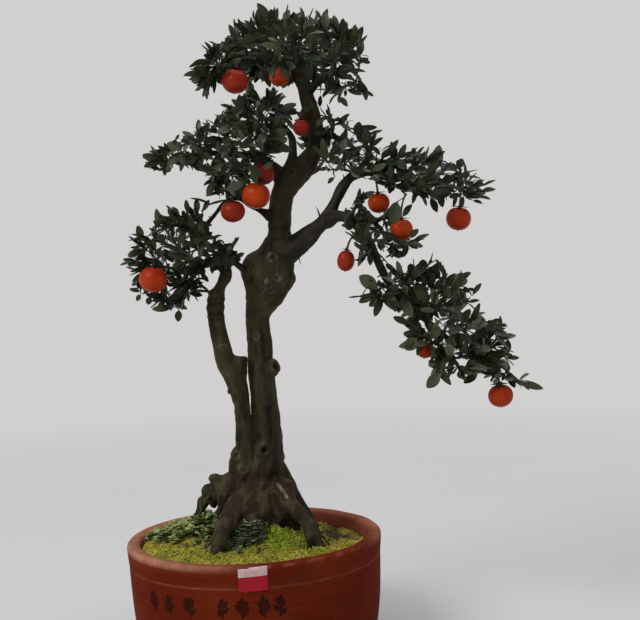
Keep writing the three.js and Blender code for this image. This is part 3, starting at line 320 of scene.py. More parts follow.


def spline(rows):
    """A centripetal spline through the rows. Columns after the third go along with the place."""
    rows = np.asarray(rows, float)
    points = np.vstack([2 * rows[0] - rows[1], rows, 2 * rows[-1] - rows[-2]])
    t = np.linspace(0, 1, STEPS, endpoint=False)[:, None]
    out = []
    for p0, p1, p2, p3 in zip(points, points[1:], points[2:], points[3:]):
        gaps = [math.sqrt(np.linalg.norm((b - a)[:3])) for a, b in ((p0, p1), (p1, p2), (p2, p3))]
        m1 = ((p1 - p0) / gaps[0] - (p2 - p0) / (gaps[0] + gaps[1]) + (p2 - p1) / gaps[1]) * gaps[1]
        m2 = ((p2 - p1) / gaps[1] - (p3 - p1) / (gaps[1] + gaps[2]) + (p3 - p2) / gaps[2]) * gaps[1]
        bend = 3 * (p2 - p1) - 2 * m1 - m2
        out.append(p1 + m1 * t + bend * t**2 + (2 * (p1 - p2) + m1 + m2) * t**3)
    return np.vstack(out + [rows[-1:]])


class Line:
    """A sampled line with places and directions by share of its length."""

    def __init__(self, rows):
        self.rows = np.asarray(rows, float)
        steps = np.linalg.norm(np.diff(self.rows[:, :3], axis=0), axis=1)
        self.reach = np.concatenate([[0], np.cumsum(steps)])
        self.length = self.reach[-1]

    def row(self, share):
        at = np.asarray(share) * self.length
        return np.stack([np.interp(at, self.reach, column) for column in self.rows.T], axis=-1)

    def point(self, share):
        return self.row(share)[..., :3]

    def tangent(self, share):
        return unit(self.point(min(share + 0.02, 1)) - self.point(max(share - 0.02, 0)))


def bent(start, bend, end, count):
    """Points from the start to the end, on a curve that the bend draws aside."""
    t = np.linspace(0, 1, count)[:, None]
    return (1 - t) ** 2 * start + 2 * t * (1 - t) * bend + t**2 * end


LIMB_LINES = {name: Line(spline(rows)) for name, rows in LIMBS.items()}


def on_limb(name, at):
    """The place and radius on a limb, at a place counted in points along it."""
    rows = LIMB_LINES[name].rows
    index = at * STEPS
    low = min(int(index), len(rows) - 2)
    return rows[low] + (rows[low + 1] - rows[low]) * (index - low)


def frames_along(points):
    """Tangents and two cross directions, carried along without twist."""
    after = np.vstack([points[1:], points[-1:]])
    before = np.vstack([points[:1], points[:-1]])
    tangents = unit(after - before)
    side = np.array([1.0, 0, 0]) if abs(tangents[0][2]) > 0.9 else UP
    sides = []
    for tangent in tangents:
        side = unit(side - side.dot(tangent) * tangent)
        sides.append(side)
    sides = np.array(sides)
    return tangents, sides, np.cross(tangents, sides)


# The camera: how it is turned, and its focal length in pixels of the 640 by 620 picture.
YAW, PITCH, ROLL = (math.radians(angle) for angle in (3.35, -3.77, -2.78))
FOCAL = 1323
PICTURE_WIDTH = 640
MIDDLE = (320, 310)
FORWARD = np.array([math.sin(YAW) * math.cos(PITCH), math.cos(YAW) * math.cos(PITCH), math.sin(PITCH)])
LEVEL = np.array([math.cos(YAW), -math.sin(YAW), 0])
RIGHTWARD = math.cos(ROLL) * LEVEL + math.sin(ROLL) * np.cross(LEVEL, FORWARD)
UPWARD = np.cross(RIGHTWARD, FORWARD)


def seen_at(point):
    """Where in the picture a place shows, and how far off it is."""
    offset = point - EYE
    depth = offset @ FORWARD
    x = MIDDLE[0] + FOCAL * (offset @ RIGHTWARD) / depth
    y = MIDDLE[1] - FOCAL * (offset @ UPWARD) / depth
    return x, y, depth


def place_seen(x, y, depth):
    """The place that shows there in the picture, at that depth."""
    across = RIGHTWARD * (x - MIDDLE[0]) / FOCAL
    return EYE + depth * (FORWARD + across + UPWARD * (MIDDLE[1] - y) / FOCAL)


# Meshes

def side_faces(count, size):
    """The faces between rings of equal size that follow one another."""
    faces = []
    for ring in range(count - 1):
        for n in range(size):
            a, b = ring * size + n, ring * size + (n + 1) % size
            faces.append((a, b, b + size, a + size))
    return faces


def closed_faces(count, size):
    """The same with both ends closed, each on a middle point that comes after the rings."""
    faces = side_faces(count, size)
    first, last, base = count * size, count * size + 1, (count - 1) * size
    for n in range(size):
        after = (n + 1) % size
        faces += [(first, after, n), (last, base + n, base + after)]
    return faces


class Shells:
    """Closed shells gathered into one mesh, with three numbers for the shaders at each point."""

    def __init__(self):
        self.points = []
        self.faces = []
        self.materials = []
        self.values = []
        self.border = []
        self.count = 0

    def add(self, points, faces, material=0, values=None, border=None):
        points = np.asarray(points, float)
        self.faces.extend([tuple(self.count + n for n in face) for face in faces])
        self.materials.extend([material] * len(faces))
        self.points.append(points)
        self.values.append(np.zeros((len(points), 3)) if values is None else values)
        self.border.append(np.zeros(len(points), bool) if border is None else border)
        self.count += len(points)

    def rings(self, rings, material=0, values=None):
        """A closed shell over rings of equal size, each end drawn to its middle."""
        rings = np.asarray(rings, float)
        points = np.vstack([rings.reshape(-1, 3), rings[0].mean(0), rings[-1].mean(0)])
        if values is not None:
            values = np.vstack([values, values[:1], values[-1:]])
        self.add(points, closed_faces(*rings.shape[:2]), material, values)

    def tube(self, rows, sides, material=0, value=(0, 0, 0)):
        """A round tube, with one value all over. The rows give its axis and radius."""
        rows = np.asarray(rows, float)
        _, side, other = frames_along(rows[:, :3])
        turn = np.linspace(0, 2 * math.pi, sides, endpoint=False)[None, :, None]
        ring = side[:, None] * np.cos(turn) + other[:, None] * np.sin(turn)
        rings = rows[:, None, :3] + ring * rows[:, None, 3:4]
        self.rings(rings, material, np.tile(value, (sides * len(rows), 1)))

    def ball(self, centre, size):
        """A rounded lump with its centre and half sizes."""
        ring = circle(16)
        angles = np.linspace(-math.pi / 2, math.pi / 2, 9)[1:-1]
        self.rings([np.array(centre) + (ring * math.cos(a) + UP * math.sin(a)) * size for a in angles])

    def object(self, name, materials):
        """All the shells as one object. Edges between two border points are sharp."""
        mesh = bpy.data.meshes.new(name)
        points = np.vstack(self.points)
        mesh.from_pydata((points * MM).tolist(), [], self.faces)
        put_values(mesh, np.vstack(self.values))
        mesh.polygons.foreach_set("material_index", self.materials)
        mesh.polygons.foreach_set("use_smooth", [True] * len(mesh.polygons))
        border = np.concatenate(self.border)
        if border.any():
            sharp = border[mesh_edges(mesh)].all(axis=1)
            mesh.attributes.new("sharp_edge", "BOOLEAN", "EDGE").data.foreach_set("value", sharp)
        return placed(name, mesh, materials)


def mesh_edges(mesh):
    ends = np.zeros(len(mesh.edges) * 2, np.int64)
    mesh.edges.foreach_get("vertices", ends)
    return ends.reshape(-1, 2)


def mesh_places(mesh):
    """The mesh's points in millimetres."""
    places = np.zeros(len(mesh.vertices) * 3)
    mesh.vertices.foreach_get("co", places)
    return places.reshape(-1, 3) / MM


def mesh_normals(mesh):
    normals = np.zeros(len(mesh.vertices) * 3)
    mesh.vertex_normals.foreach_get("vector", normals)
    return normals.reshape(-1, 3)


def move_points(mesh, places):
    mesh.vertices.foreach_set("co", (places * MM).ravel())
    mesh.update()


def put_number(mesh, values, name):
    attribute = mesh.attributes.new(name, "FLOAT", "POINT")
    attribute.data.foreach_set("value", np.asarray(values, np.float32))


def put_values(mesh, values):
    attribute = mesh.attributes.get("marks") or mesh.attributes.new("marks", "FLOAT_VECTOR", "POINT")
    attribute.data.foreach_set("vector", np.asarray(values, np.float32).ravel())


def placed(name, mesh, materials):
    """The mesh as an object of the part, with its materials."""
    for material in materials:
        mesh.materials.append(material)
    piece = bpy.data.objects.new(name, mesh)
    bpy.context.scene.collection.objects.link(piece)
    return piece


def stands_for(piece, slot, *nodes):
    """Gives the piece its body and hides the solids whose place it takes. The slot is not used."""
    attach(piece, "root")
    if nodes:
        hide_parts(*nodes)


def neighbours_mean(points, edges, count):
    """The mean of the values at the neighbours of each point."""
    total = np.zeros_like(points)
    for a, b in ((0, 1), (1, 0)):
        for axis in range(points.shape[1]):
            total[:, axis] += np.bincount(edges[:, a], points[edges[:, b], axis], len(points))
    return total / count[:, None]


# Materials

class Shader:
    """A material made of nodes, with a Principled surface."""

    def __init__(self, name, **surface):
        self.material = bpy.data.materials.new(name)
        self.material.use_nodes = True
        self.tree = self.material.node_tree
        self.tree.nodes.clear()
        self.surface = self.tree.nodes.new("ShaderNodeBsdfPrincipled")
        output = self.tree.nodes.new("ShaderNodeOutputMaterial")
        self.tree.links.new(self.surface.outputs[0], output.inputs[0])
        for socket, value in surface.items():
            self.surface.inputs[socket.replace("_", " ")].default_value = value

    def node(self, kind, inputs, output=0, **settings):
        node = self.tree.nodes.new("ShaderNode" + kind)
        for key, value in settings.items():
            setattr(node, key, value)
        for key, value in inputs.items():
            self.put(node.inputs[key], value)
        return node.outputs[output]

    def put(self, socket, value):
        if isinstance(value, bpy.types.NodeSocket):
            self.tree.links.new(value, socket)
        else:
            socket.default_value = value

    def set(self, **values):
        for socket, value in values.items():
            self.put(self.surface.inputs[socket.replace("_", " ")], value)

    def place(self):
        return self.node("TexCoord", {}, output="Object")

    def marks(self):
        """The three numbers stored at each point."""
        stored = self.node("Attribute", {}, output="Vector", attribute_name="marks")
        return self.node("SeparateXYZ", {0: stored}).node.outputs[:]

    def noise(self, scale, detail=4.0, roughness=0.55, at=None):
        inputs = {"Vector": at or self.place(), "Scale": scale, "Detail": detail, "Roughness": roughness}
        return self.node("TexNoise", inputs)

    def cells(self, scale):
        return self.node("TexVoronoi", {"Vector": self.place(), "Scale": scale}, output="Distance")

    def stretched(self, x, y, z):
        return self.node("Mapping", {"Vector": self.place(), "Scale": (x, y, z)})

    def away_from(self, *place):
        """The distance from a place, in metres as the place is."""
        return self.node("VectorMath", {0: self.place(), 1: place}, output="Value", operation="DISTANCE")

    def spread(self, value, low, high, to_low=0.0, to_high=1.0):
        """Carries a value from one range to another, clamped at its ends."""
        ends = {"Value": value, "From Min": low, "From Max": high, "To Min": to_low, "To Max": to_high}
        return self.node("MapRange", ends)

    def math(self, operation, a, b=0.0):
        return self.node("Math", {0: a, 1: b}, operation=operation)

    def times(self, a, b):
        return self.math("MULTIPLY", a, b)

    def mix(self, share, a, b):
        node = self.tree.nodes.new("ShaderNodeMix")
        node.data_type = "RGBA"
        self.put(node.inputs["Factor"], share)
        colours = [socket for socket in node.inputs if socket.type == "RGBA"]
        for socket, value in zip(colours, (a, b)):
            self.put(socket, value if isinstance(value, bpy.types.NodeSocket) else (*value, 1))
        return [socket for socket in node.outputs if socket.type == "RGBA"][0]

    def bump(self, *layers):
        """Bumps from heights, each with its strength and its depth in millimetres."""
        normal = None
        for height, strength, depth in layers:
            inputs = {"Height": height, "Strength": strength, "Distance": depth * MM}
            if normal is not None:
                inputs["Normal"] = normal
            normal = self.node("Bump", inputs)
        self.set(Normal=normal)


# Two places on the bark, in metres: the hollow between the front roots, where the bark is painted a darker
# red-brown, partly redder bark and partly painted shade; and a spot on the burl.
ROOT_HOLLOW = (0.006, -0.03, 0.16)
RUSTY_SPOT = (0.028, -0.032, 0.425)


def scaled(colour, *shares):
    return tuple(part * share for part, share in zip(colour, shares))


def bark_material(name, base, grey, red):
    """Dark bark with grey and reddish patches, paler ridges, scars, lichen, moss and bare dead wood, with
    painted shade in the furrows, the scar hollows, between the front roots and on the trunk among the
    crown's leaves.
    """
    s = Shader(name, Specular_IOR_Level=0.16)
    hollow, pale, moss = s.marks()
    height = s.node("SeparateXYZ", {0: s.place()}, output=2)
    relief = s.node("Attribute", {}, output="Fac", attribute_name="relief")
    broad = s.noise(28, 3)
    fine = s.noise(420, 5, 0.65)
    streaks = s.noise(60, 4, at=s.stretched(5, 5, 0.7))
    colour = s.mix(s.spread(broad, 0.38, 0.62), base, grey)
    colour = s.mix(s.spread(streaks, 0.5, 0.72, 0, 0.55), colour, scaled(base, 0.45, 0.45, 0.45))
    low_red = s.times(s.spread(height, 0.27, 0.18), s.spread(s.noise(30, 2), 0.42, 0.58, 0.05, 0.85))
    colour = s.mix(low_red, colour, red)
    colour = s.mix(s.spread(height, 0.27, 0.17, 0, 0.62), colour, (0.0145, 0.011, 0.0065))
    # Higher up, where the trunk runs in among the crown's leaves, it is painted darker: painted shade from
    # the leaves.
    colour = s.mix(s.spread(height, 0.56, 0.62, 0, 0.6), colour, (0.01, 0.0075, 0.004))
    # Between the front roots the bark is painted a darker red-brown: painted shade in the hollow, on redder
    # bark.
    between_roots = s.spread(s.away_from(*ROOT_HOLLOW), 0.06, 0.032)
    centre = s.times(between_roots, s.spread(s.noise(55, 3), 0.3, 0.55, 0.55, 1.0))
    colour = s.mix(centre, colour, (0.027, 0.0105, 0.0065))
    rusty = s.spread(s.away_from(*RUSTY_SPOT), 0.008, 0.003, 0, 0.7)
    colour = s.mix(rusty, colour, (0.036, 0.014, 0.006))
    lichen = s.spread(s.cells(310), 0.16, 0.07)
    lichen = s.times(lichen, s.spread(s.noise(70, 2), 0.52, 0.66))
    colour = s.mix(s.times(lichen, 0.55), colour, (0.12, 0.125, 0.085))
    colour = s.mix(s.spread(fine, 0.3, 0.7, 0.0, 0.5), colour, scaled(base, 1.9, 1.9, 1.8))
    # Dark where the relief is low: painted shade in the furrows. Paler on the highest ridges.
    colour = s.mix(s.spread(relief, 0.42, 0.0, 0, 0.85), colour, scaled(base, 0.28, 0.28, 0.28))
    colour = s.mix(s.spread(relief, 0.58, 1.0, 0, 0.5), colour, scaled(grey, 2.1, 2.1, 2.1))
    colour = s.mix(moss, colour, (0.05, 0.065, 0.018))
    dead_wood = s.mix(s.spread(streaks, 0.4, 0.6), (0.27, 0.235, 0.17), (0.13, 0.11, 0.075))
    colour = s.mix(pale, colour, dead_wood)
    # The scar hollows are painted near black: painted shade.
    colour = s.mix(hollow, colour, (0.004, 0.003, 0.002))
    s.set(Base_Color=colour, Roughness=s.spread(fine, 0.3, 0.7, 0.62, 0.88))
    wrinkles = s.noise(140, 5, 0.6, at=s.stretched(1, 1, 2.6))
    s.bump((wrinkles, 0.6, 1.1), (fine, 0.55, 0.5), (s.cells(520), 0.25, 0.35))
    return s.material


def leaf_material():
    s = Shader("leaf_blade", Specular_IOR_Level=0.23, Coat_Weight=0.04, Coat_Roughness=0.22)
    along, across, tone = s.marks()
    under = s.node("Attribute", {}, output="Fac", attribute_name="under")
    patches = s.noise(55, 3)
    # The tone paints light and shade leaf by leaf, along with each leaf's own shade of green: the darkest
    # leaves stand in for shade inside the pads.
    deep = s.mix(s.spread(tone, 0.08, 0.8), (0.003, 0.0055, 0.0015), (0.033, 0.045, 0.0125))
    top = s.mix(s.spread(patches, 0.35, 0.65, 0, 0.3), deep, (0.019, 0.031, 0.008))
    # The lightest leaves are painted a pale grey-green on top: a painted sheen.
    top = s.mix(s.spread(tone, 0.6, 0.92), top, (0.108, 0.13, 0.08))
    old = s.times(s.spread(tone, 0.94, 1.0), s.spread(s.noise(150, 3), 0.42, 0.6))
    top = s.mix(old, top, (0.11, 0.09, 0.03))
    width = s.math("ABSOLUTE", across)
    midrib = s.spread(width, 0.09, 0.03)
    slant = s.math("SUBTRACT", s.times(along, 46.0), s.times(width, 13.0))
    veins = s.spread(s.math("SINE", slant), 0.72, 1.0)
    top = s.mix(s.times(midrib, 0.6), top, (0.07, 0.095, 0.03))
    top = s.mix(s.times(veins, 0.22), top, (0.045, 0.065, 0.025))
    bottom = s.mix(s.times(midrib, 0.7), (0.045, 0.056, 0.027), (0.09, 0.1, 0.045))
    s.set(Base_Color=s.mix(s.spread(under, 0.45, 0.55), top, bottom))
    s.set(Roughness=s.spread(s.noise(240, 3), 0.3, 0.7, 0.34, 0.52))
    s.bump((midrib, 0.5, 0.5), (veins, 0.35, 0.25), (s.noise(600, 3), 0.3, 0.12))
    return s.material


def twig_material():
    s = Shader("young_twig", Specular_IOR_Level=0.4)
    grain = s.noise(500, 4)
    colour = s.mix(s.spread(s.noise(90, 3), 0.35, 0.65), (0.03, 0.029, 0.017), (0.05, 0.058, 0.028))
    s.set(Base_Color=s.mix(s.spread(grain, 0.35, 0.7, 0, 0.5), colour, (0.09, 0.08, 0.055)))
    s.set(Roughness=s.spread(grain, 0.3, 0.7, 0.55, 0.8))
    s.bump((grain, 0.5, 0.3))
    return s.material


def fruit_material():
    s = Shader("fruit_skin", Specular_IOR_Level=0.1, Coat_Weight=0.05, Coat_Roughness=0.15)
    height, _, tone = s.marks()
    ripe = s.mix(s.spread(s.noise(45, 3), 0.35, 0.65), (0.5, 0.047, 0.002), (0.37, 0.024, 0.001))
    # Towards the top the skin turns a darker red: partly a redder crown, partly painted shade under the
    # calyx.
    crown = s.mix(s.spread(height, 0.3, 0.95, 0, 0.8), ripe, (0.3, 0.02, 0.002))
    # Towards the bottom it is painted a darker red: painted shade under the fruit.
    colour = s.mix(s.spread(height, -0.3, -0.95, 0, 0.7), crown, (0.26, 0.02, 0.002))
    # A higher tone paints the whole fruit a darker red: partly riper crimson skin, partly painted shade set
    # fruit by fruit.
    colour = s.mix(s.spread(tone, 0, 1), colour, (0.2, 0.01, 0.006))
    specks = s.times(s.spread(s.cells(620), 0.17, 0.06), s.spread(s.noise(260, 2), 0.5, 0.62))
    colour = s.mix(s.times(specks, 0.6), colour, (0.1, 0.025, 0.008))
    blush = s.spread(s.noise(900, 2), 0.45, 0.75, 0, 0.1)
    s.set(Base_Color=s.mix(blush, colour, (0.75, 0.28, 0.1)))
    s.set(Roughness=s.spread(s.noise(160, 3), 0.3, 0.7, 0.27, 0.42))
    s.bump((s.noise(330, 4), 0.18, 0.4), (s.cells(900), 0.12, 0.12))
    return s.material


def calyx_material():
    s = Shader("calyx_lobe", Specular_IOR_Level=0.4)
    veins = s.noise(240, 4, at=s.stretched(1, 1, 0.4))
    colour = s.mix(s.spread(veins, 0.35, 0.65), (0.05, 0.016, 0.01), (0.035, 0.032, 0.013))
    s.set(Base_Color=colour, Roughness=s.spread(veins, 0.3, 0.7, 0.5, 0.75))
    s.bump((veins, 0.5, 0.4))
    return s.material


def moss_material():
    s = Shader("moss_and_soil", Specular_IOR_Level=0.1)
    bare, grey, tone = s.marks()
    grain = s.noise(520, 4, 0.65)
    green = s.mix(s.spread(s.noise(40, 3), 0.4, 0.6), (0.56, 0.46, 0.06), (0.25, 0.29, 0.028))
    green = s.mix(s.spread(tone, 0, 1, 0, 0.7), green, (0.52, 0.44, 0.08))
    fresh = s.mix(grain, (0.06, 0.13, 0.008), (0.2, 0.36, 0.02))
    green = s.mix(s.spread(tone, 0, -0.8, 0, 0.85), green, fresh)
    green = s.mix(s.times(grey, 0.7), green, (0.2, 0.23, 0.08))
    earth = s.mix(s.spread(s.noise(210, 4), 0.4, 0.6), (0.03, 0.018, 0.01), (0.09, 0.055, 0.03))
    colour = s.mix(bare, green, earth)
    # Darker where the grain is low: painted shade in the pits of the moss.
    colour = s.mix(s.spread(grain, 0.52, 0.3, 0, 0.75), colour, (0.014, 0.016, 0.005))
    colour = s.mix(s.spread(s.noise(230, 2), 0.44, 0.34, 0, 0.7), colour, (0.03, 0.03, 0.008))
    s.set(Base_Color=colour, Roughness=0.95)
    s.bump((grain, 0.9, 1.6), (s.cells(420), 0.6, 0.9))
    return s.material


def weed_material():
    s = Shader("weed_leaf", Specular_IOR_Level=0.15, Roughness=0.7)
    heap, _, tone = s.marks()
    near = s.mix(tone, (0.082, 0.1, 0.055), (0.3, 0.35, 0.2))
    s.set(Base_Color=s.mix(heap, near, s.mix(tone, (0.14, 0.19, 0.04), (0.42, 0.47, 0.2))))
    s.bump((s.noise(700, 3), 0.4, 0.3))
    return s.material


def grit_material():
    s = Shader("grit", Specular_IOR_Level=0.05, Roughness=0.9)
    _, _, tone = s.marks()
    s.set(Base_Color=s.mix(tone, (0.06, 0.038, 0.018), (0.34, 0.29, 0.19)))
    s.bump((s.noise(600, 4), 0.6, 0.5))
    return s.material


def clay_material():
    s = Shader("terracotta", Specular_IOR_Level=0.03)
    engraved, rim, wear_and_groove_light = s.marks()
    broad = s.noise(14, 4)
    fine = s.noise(380, 5, 0.65)
    wheel = s.noise(26, 3, at=s.stretched(0.35, 0.35, 16))
    colour = s.mix(s.spread(broad, 0.35, 0.65), (0.158, 0.019, 0.0045), (0.112, 0.0095, 0.002))
    colour = s.mix(s.spread(wheel, 0.42, 0.66, 0, 0.16), colour, (0.2, 0.045, 0.018))
    colour = s.mix(s.spread(fine, 0.55, 0.8, 0, 0.3), colour, (0.24, 0.07, 0.035))
    # Paler at the rim and on the inner wall, most on the left: partly a chalk film, partly painted light
    # from the left and on the rim top.
    bloom_and_painted_light = s.times(rim, s.spread(s.noise(70, 4), 0.3, 0.7, 0.45, 1.0))
    colour = s.mix(bloom_and_painted_light, colour, (0.52, 0.26, 0.16))
    # Lighter where the edges show wear, and along the groove, where a light line is painted.
    colour = s.mix(s.times(wear_and_groove_light, 0.8), colour, (0.33, 0.11, 0.06))
    stain = s.times(s.spread(s.noise(9, 5, 0.7), 0.55, 0.7), 0.4)
    colour = s.mix(stain, colour, (0.06, 0.02, 0.011))
    colour = s.mix(s.spread(engraved, 0.1, 0.6, 0, 0.8), colour, (0.018, 0.008, 0.0045))
    s.set(Base_Color=colour, Roughness=s.spread(fine, 0.3, 0.7, 0.6, 0.82))
    s.bump((wheel, 0.12, 0.6), (fine, 0.35, 0.25), (s.cells(240), 0.12, 0.3))
    return s.material


def label_material():
    s = Shader("label_paper", Specular_IOR_Level=0.12)
    band, _, _ = s.marks()
    fibres = s.noise(700, 4)
    white = s.mix(s.spread(s.noise(120, 3), 0.3, 0.7), (0.66, 0.5, 0.5), (0.56, 0.36, 0.37))
    red = s.mix(s.spread(s.noise(60, 3), 0.3, 0.7), (0.42, 0.014, 0.028), (0.34, 0.009, 0.02))
    s.set(Base_Color=s.mix(s.spread(band, 0.45, 0.55), red, white))
    s.set(Roughness=s.spread(fibres, 0.3, 0.7, 0.4, 0.6))
    s.bump((fibres, 0.3, 0.1))
    return s.material


BARK = bark_material("bark", (0.025, 0.0222, 0.0092), (0.041, 0.038, 0.0195), (0.045, 0.016, 0.01))
THIN_BARK = bark_material("thin_bark", (0.015, 0.0135, 0.008), (0.028, 0.0265, 0.0165), (0.03, 0.016, 0.01))
LEAF = leaf_material()
TWIG = twig_material()


# Wood

def remeshed(shells, name, voxel):
    """The shells joined into one even skin."""
    rough = shells.object(name, [])
    modifier = rough.modifiers.new("skin", "REMESH")
    modifier.mode = "VOXEL"
    modifier.voxel_size = voxel * MM
    graph = bpy.context.evaluated_depsgraph_get()
    mesh = bpy.data.meshes.new_from_object(rough.evaluated_get(graph))
    bpy.data.objects.remove(rough)
    mesh.name = name
    return mesh


LIMBS_APART = 977.0  # so that no two limbs have the same grain
CHUNK = 4000  # points looked up at a time
MAP_STEP = 3


class LimbMap:
    """Finds, for points on the skin, the limb they belong to and where they stand on it."""

    def __init__(self, names):
        samples = []
        for number, name in enumerate(names):
            line = LIMB_LINES[name]
            rows = line.row(np.linspace(0, 1, max(int(line.length / MAP_STEP), 2)))
            tangents, sides, others = frames_along(rows[:, :3])
            reach = np.linspace(0, line.length, len(rows))[:, None] + number * LIMBS_APART
            samples.append(np.hstack([rows, tangents, sides, others, reach]))
        self.samples = np.vstack(samples)

    def find(self, points):
        """Places unrolled along the limb: two across it and one along it; and the radius."""
        samples = self.samples
        nearest = np.zeros(len(points), np.int64)
        for start in range(0, len(points), CHUNK):
            chunk = points[start:start + CHUNK]
            gaps = np.linalg.norm(chunk[:, None] - samples[None, :, :3], axis=2) - samples[None, :, 3]
            nearest[start:start + CHUNK] = gaps.argmin(axis=1)
        row = samples[nearest]
        offset = points - row[:, :3]
        forward = (offset * row[:, 4:7]).sum(axis=1)
        across = [(offset * row[:, low:low + 3]).sum(axis=1) for low in (7, 10)]
        return np.stack([*across, row[:, 13] + forward], axis=1), row[:, 3]


# Scars on the bark: centre, ring radius, height of the ring, depth of the hollow in it, how
# dark the hollow is painted as shade and how pale the ring is.
SCARS = [
    ((36, -26, 442), 4.0, 1.3, 1.0, 0.25, 0.5),
    ((27, -31, 415), 2.6, 1.5, 0.2, 0.0, 0.9),
    ((31, -31, 410), 2.4, 0.5, 1.6, 0.8, 0.2),
    ((40, -29, 419), 3.6, 1.2, 0.8, 0.15, 0.35),
    ((34, -30, 402), 3.4, 0.8, 1.2, 0.4, 0.15),
    ((38, -26, 419), 2.6, 1.0, 0.9, 0.4, 0.3),
    ((21, -31, 402), 2.2, 0.8, 0.4, 0.3, 0.4),
    ((33, -12, 317), 6.0, 2.4, 3.6, 1.0, 0.25),
    ((24, -14, 276), 2.8, 1.2, 0.6, 0.1, 0.35),
    ((17, -24, 225), 6.4, 1.2, 4.0, 1.0, 0.15),
    ((-16, -22, 221), 5.8, 1.2, 1.2, 0.3, 0.3),
    ((-9, -24, 204), 4.2, 1.4, 0.8, 0.1, 0.35),
    ((13, -12, 352), 3.0, 0.6, 0.5, 0.1, 0.45),
    ((-24, -18, 342), 3.2, 0.5, 0.4, 0.1, 0.5),
    ((62, -8, 536), 4.0, 1.2, 1.4, 0.5, 0.1),
    ((22, 20, 300), 4.6, 1.6, 2.2, 0.8, 0.2),
    ((10, 26, 214), 5.4, 1.6, 2.0, 0.7, 0.2),
    ((45, 16, 430), 5.0, 1.4, 1.5, 0.5, 0.2),
    ((-32, 2, 392), 3.2, 1.0, 1.0, 0.4, 0.25),
    ((82, -24, 466), 3.6, 1.2, 1.2, 0.5, 0.2),
]
# Wrinkled collars where a limb was cut back: centre, height of the roll and its rise.
COLLARS = [
    ((-30, -6, 387), 3.2, 0.9), ((-29, -7, 377), 1.6, 0.4), ((-29, -5, 396), 2.2, 0.8),
    ((46, 2, 478), 3.0, 0.5),
]
# Swellings that fill the crotches between the roots: centre and half sizes.
SWELLINGS = [
    ((-14, -24, 152), (17, 13, 30)), ((16, -24, 152), (20, 12, 32)), ((38, -8, 166), (12, 13, 24)),
    ((-28, 2, 170), (13, 14, 20)), ((-4, -14, 200), (14, 9, 20)), ((-17, -8, 205), (8, 8, 16)),
    ((2, -27, 150), (26, 14, 36)), ((-52, 20, 174), (8, 9, 9)), ((-45, 16, 166), (7, 8, 14)),
    ((44, -20, 146), (12, 10, 22)), ((-60, 31, 158), (6, 6, 9)), ((-29, -7, 404), (9, 9, 4.5)),
]
# Thin roots that run over the soil: points and the radius there.
ROOTLETS = [
    [(-30, -34, 146, 3.4), (-44, -42, 132, 2.8), (-56, -46, 122, 2.2), (-66, -52, 112, 1.8)],
    [(-56, 26, 156, 3.2), (-66, 14, 140, 2.6), (-70, 6, 128, 2.1), (-74, -2, 112, 1.8)],
    [(58, -36, 146, 3.4), (74, -38, 129, 2.4), (86, -34, 112, 1.8)],
    [(-34, -54, 140, 3.4), (-27, -70, 125, 2.4), (-22, -82, 108, 1.8)],
    [(44, 20, 158, 3.2), (50, 34, 138, 2.6), (54, 50, 114, 2)],
    [(68, -50, 128, 3.0), (80, -60, 118, 2.2), (90, -68, 106, 1.8)],
    [(-46, 10, 174, 3.0), (-58, -2, 158, 2.6), (-62, -10, 140, 2.3), (-60, -16, 118, 2)],
]
# A bare streak down the right front root: where it shows in the picture, and how wide.
DEAD_WOOD = ((278, 483.5, 0), (287, 497, 0), 2.3)


CROTCH_ROUNDS = 24  # how much the roots melt into one another


def work_scars(places, height, marks):
    """Raises the ring of each scar, sinks its hollow, and marks both for the shader; the hollow is painted
    dark as shade.
    """
    for centre, ring, rise, depth, dark, pale in SCARS:
        centre = places[np.linalg.norm(places - centre, axis=1).argmin()]
        wobble = 1 + 0.24 * value_noise(places / 3.1, int(ring * 10))
        wobble = wobble + 0.4 * value_noise(places / 6.5, int(ring * 7))
        gap = np.linalg.norm(places - centre, axis=1) / wobble
        on_ring = np.exp(-(((gap - ring) / (0.33 * ring)) ** 2))
        flaky = smoothstep(-0.6, 0.5, value_noise(places / 2.2, 71))
        height += rise * on_ring - depth * smoothstep(0.85 * ring, 0.35 * ring, gap)
        # How dark the hollow is painted, as shade.
        marks[:, 0] = np.maximum(marks[:, 0], dark * smoothstep(0.8 * ring, 0.5 * ring, gap))
        marks[:, 1] = np.maximum(marks[:, 1], pale * on_ring * flaky)


def work_dead_wood(places, normals, height, marks):
    """Sinks and marks the bare streak where the picture shows it, on the side towards the camera."""
    start, end, width = DEAD_WOOD
    x, y, _ = seen_at(places)
    streak = smoothstep(width, 0.35 * width, segment_distance(flat(x, y), start, end))
    streak *= smoothstep(-0.5, 0.0, value_noise(places / (1.6, 1.6, 5), 83) + 0.2)
    streak *= smoothstep(0.1, -0.2, normals @ FORWARD)
    height -= 1.4 * streak
    marks[:, 1] = np.maximum(marks[:, 1], streak)


def work_collars(places, height, relief):
    """Raises each collar as a roll with a fold under it."""
    for centre, roll, rise in COLLARS:
        offset = places - centre
        near = smoothstep(22, 14, np.linalg.norm(offset, axis=1))
        level = offset[:, 2] + 0.9 * value_noise(places / 5, 61)
        fold = np.exp(-(((level + 1.8 * roll) / roll) ** 2))
        height += near * rise * (np.exp(-((level / roll) ** 2)) - 0.6 * fold)
        # Lowering the relief under the roll paints shade in the fold.
        relief -= 0.4 * near * fold


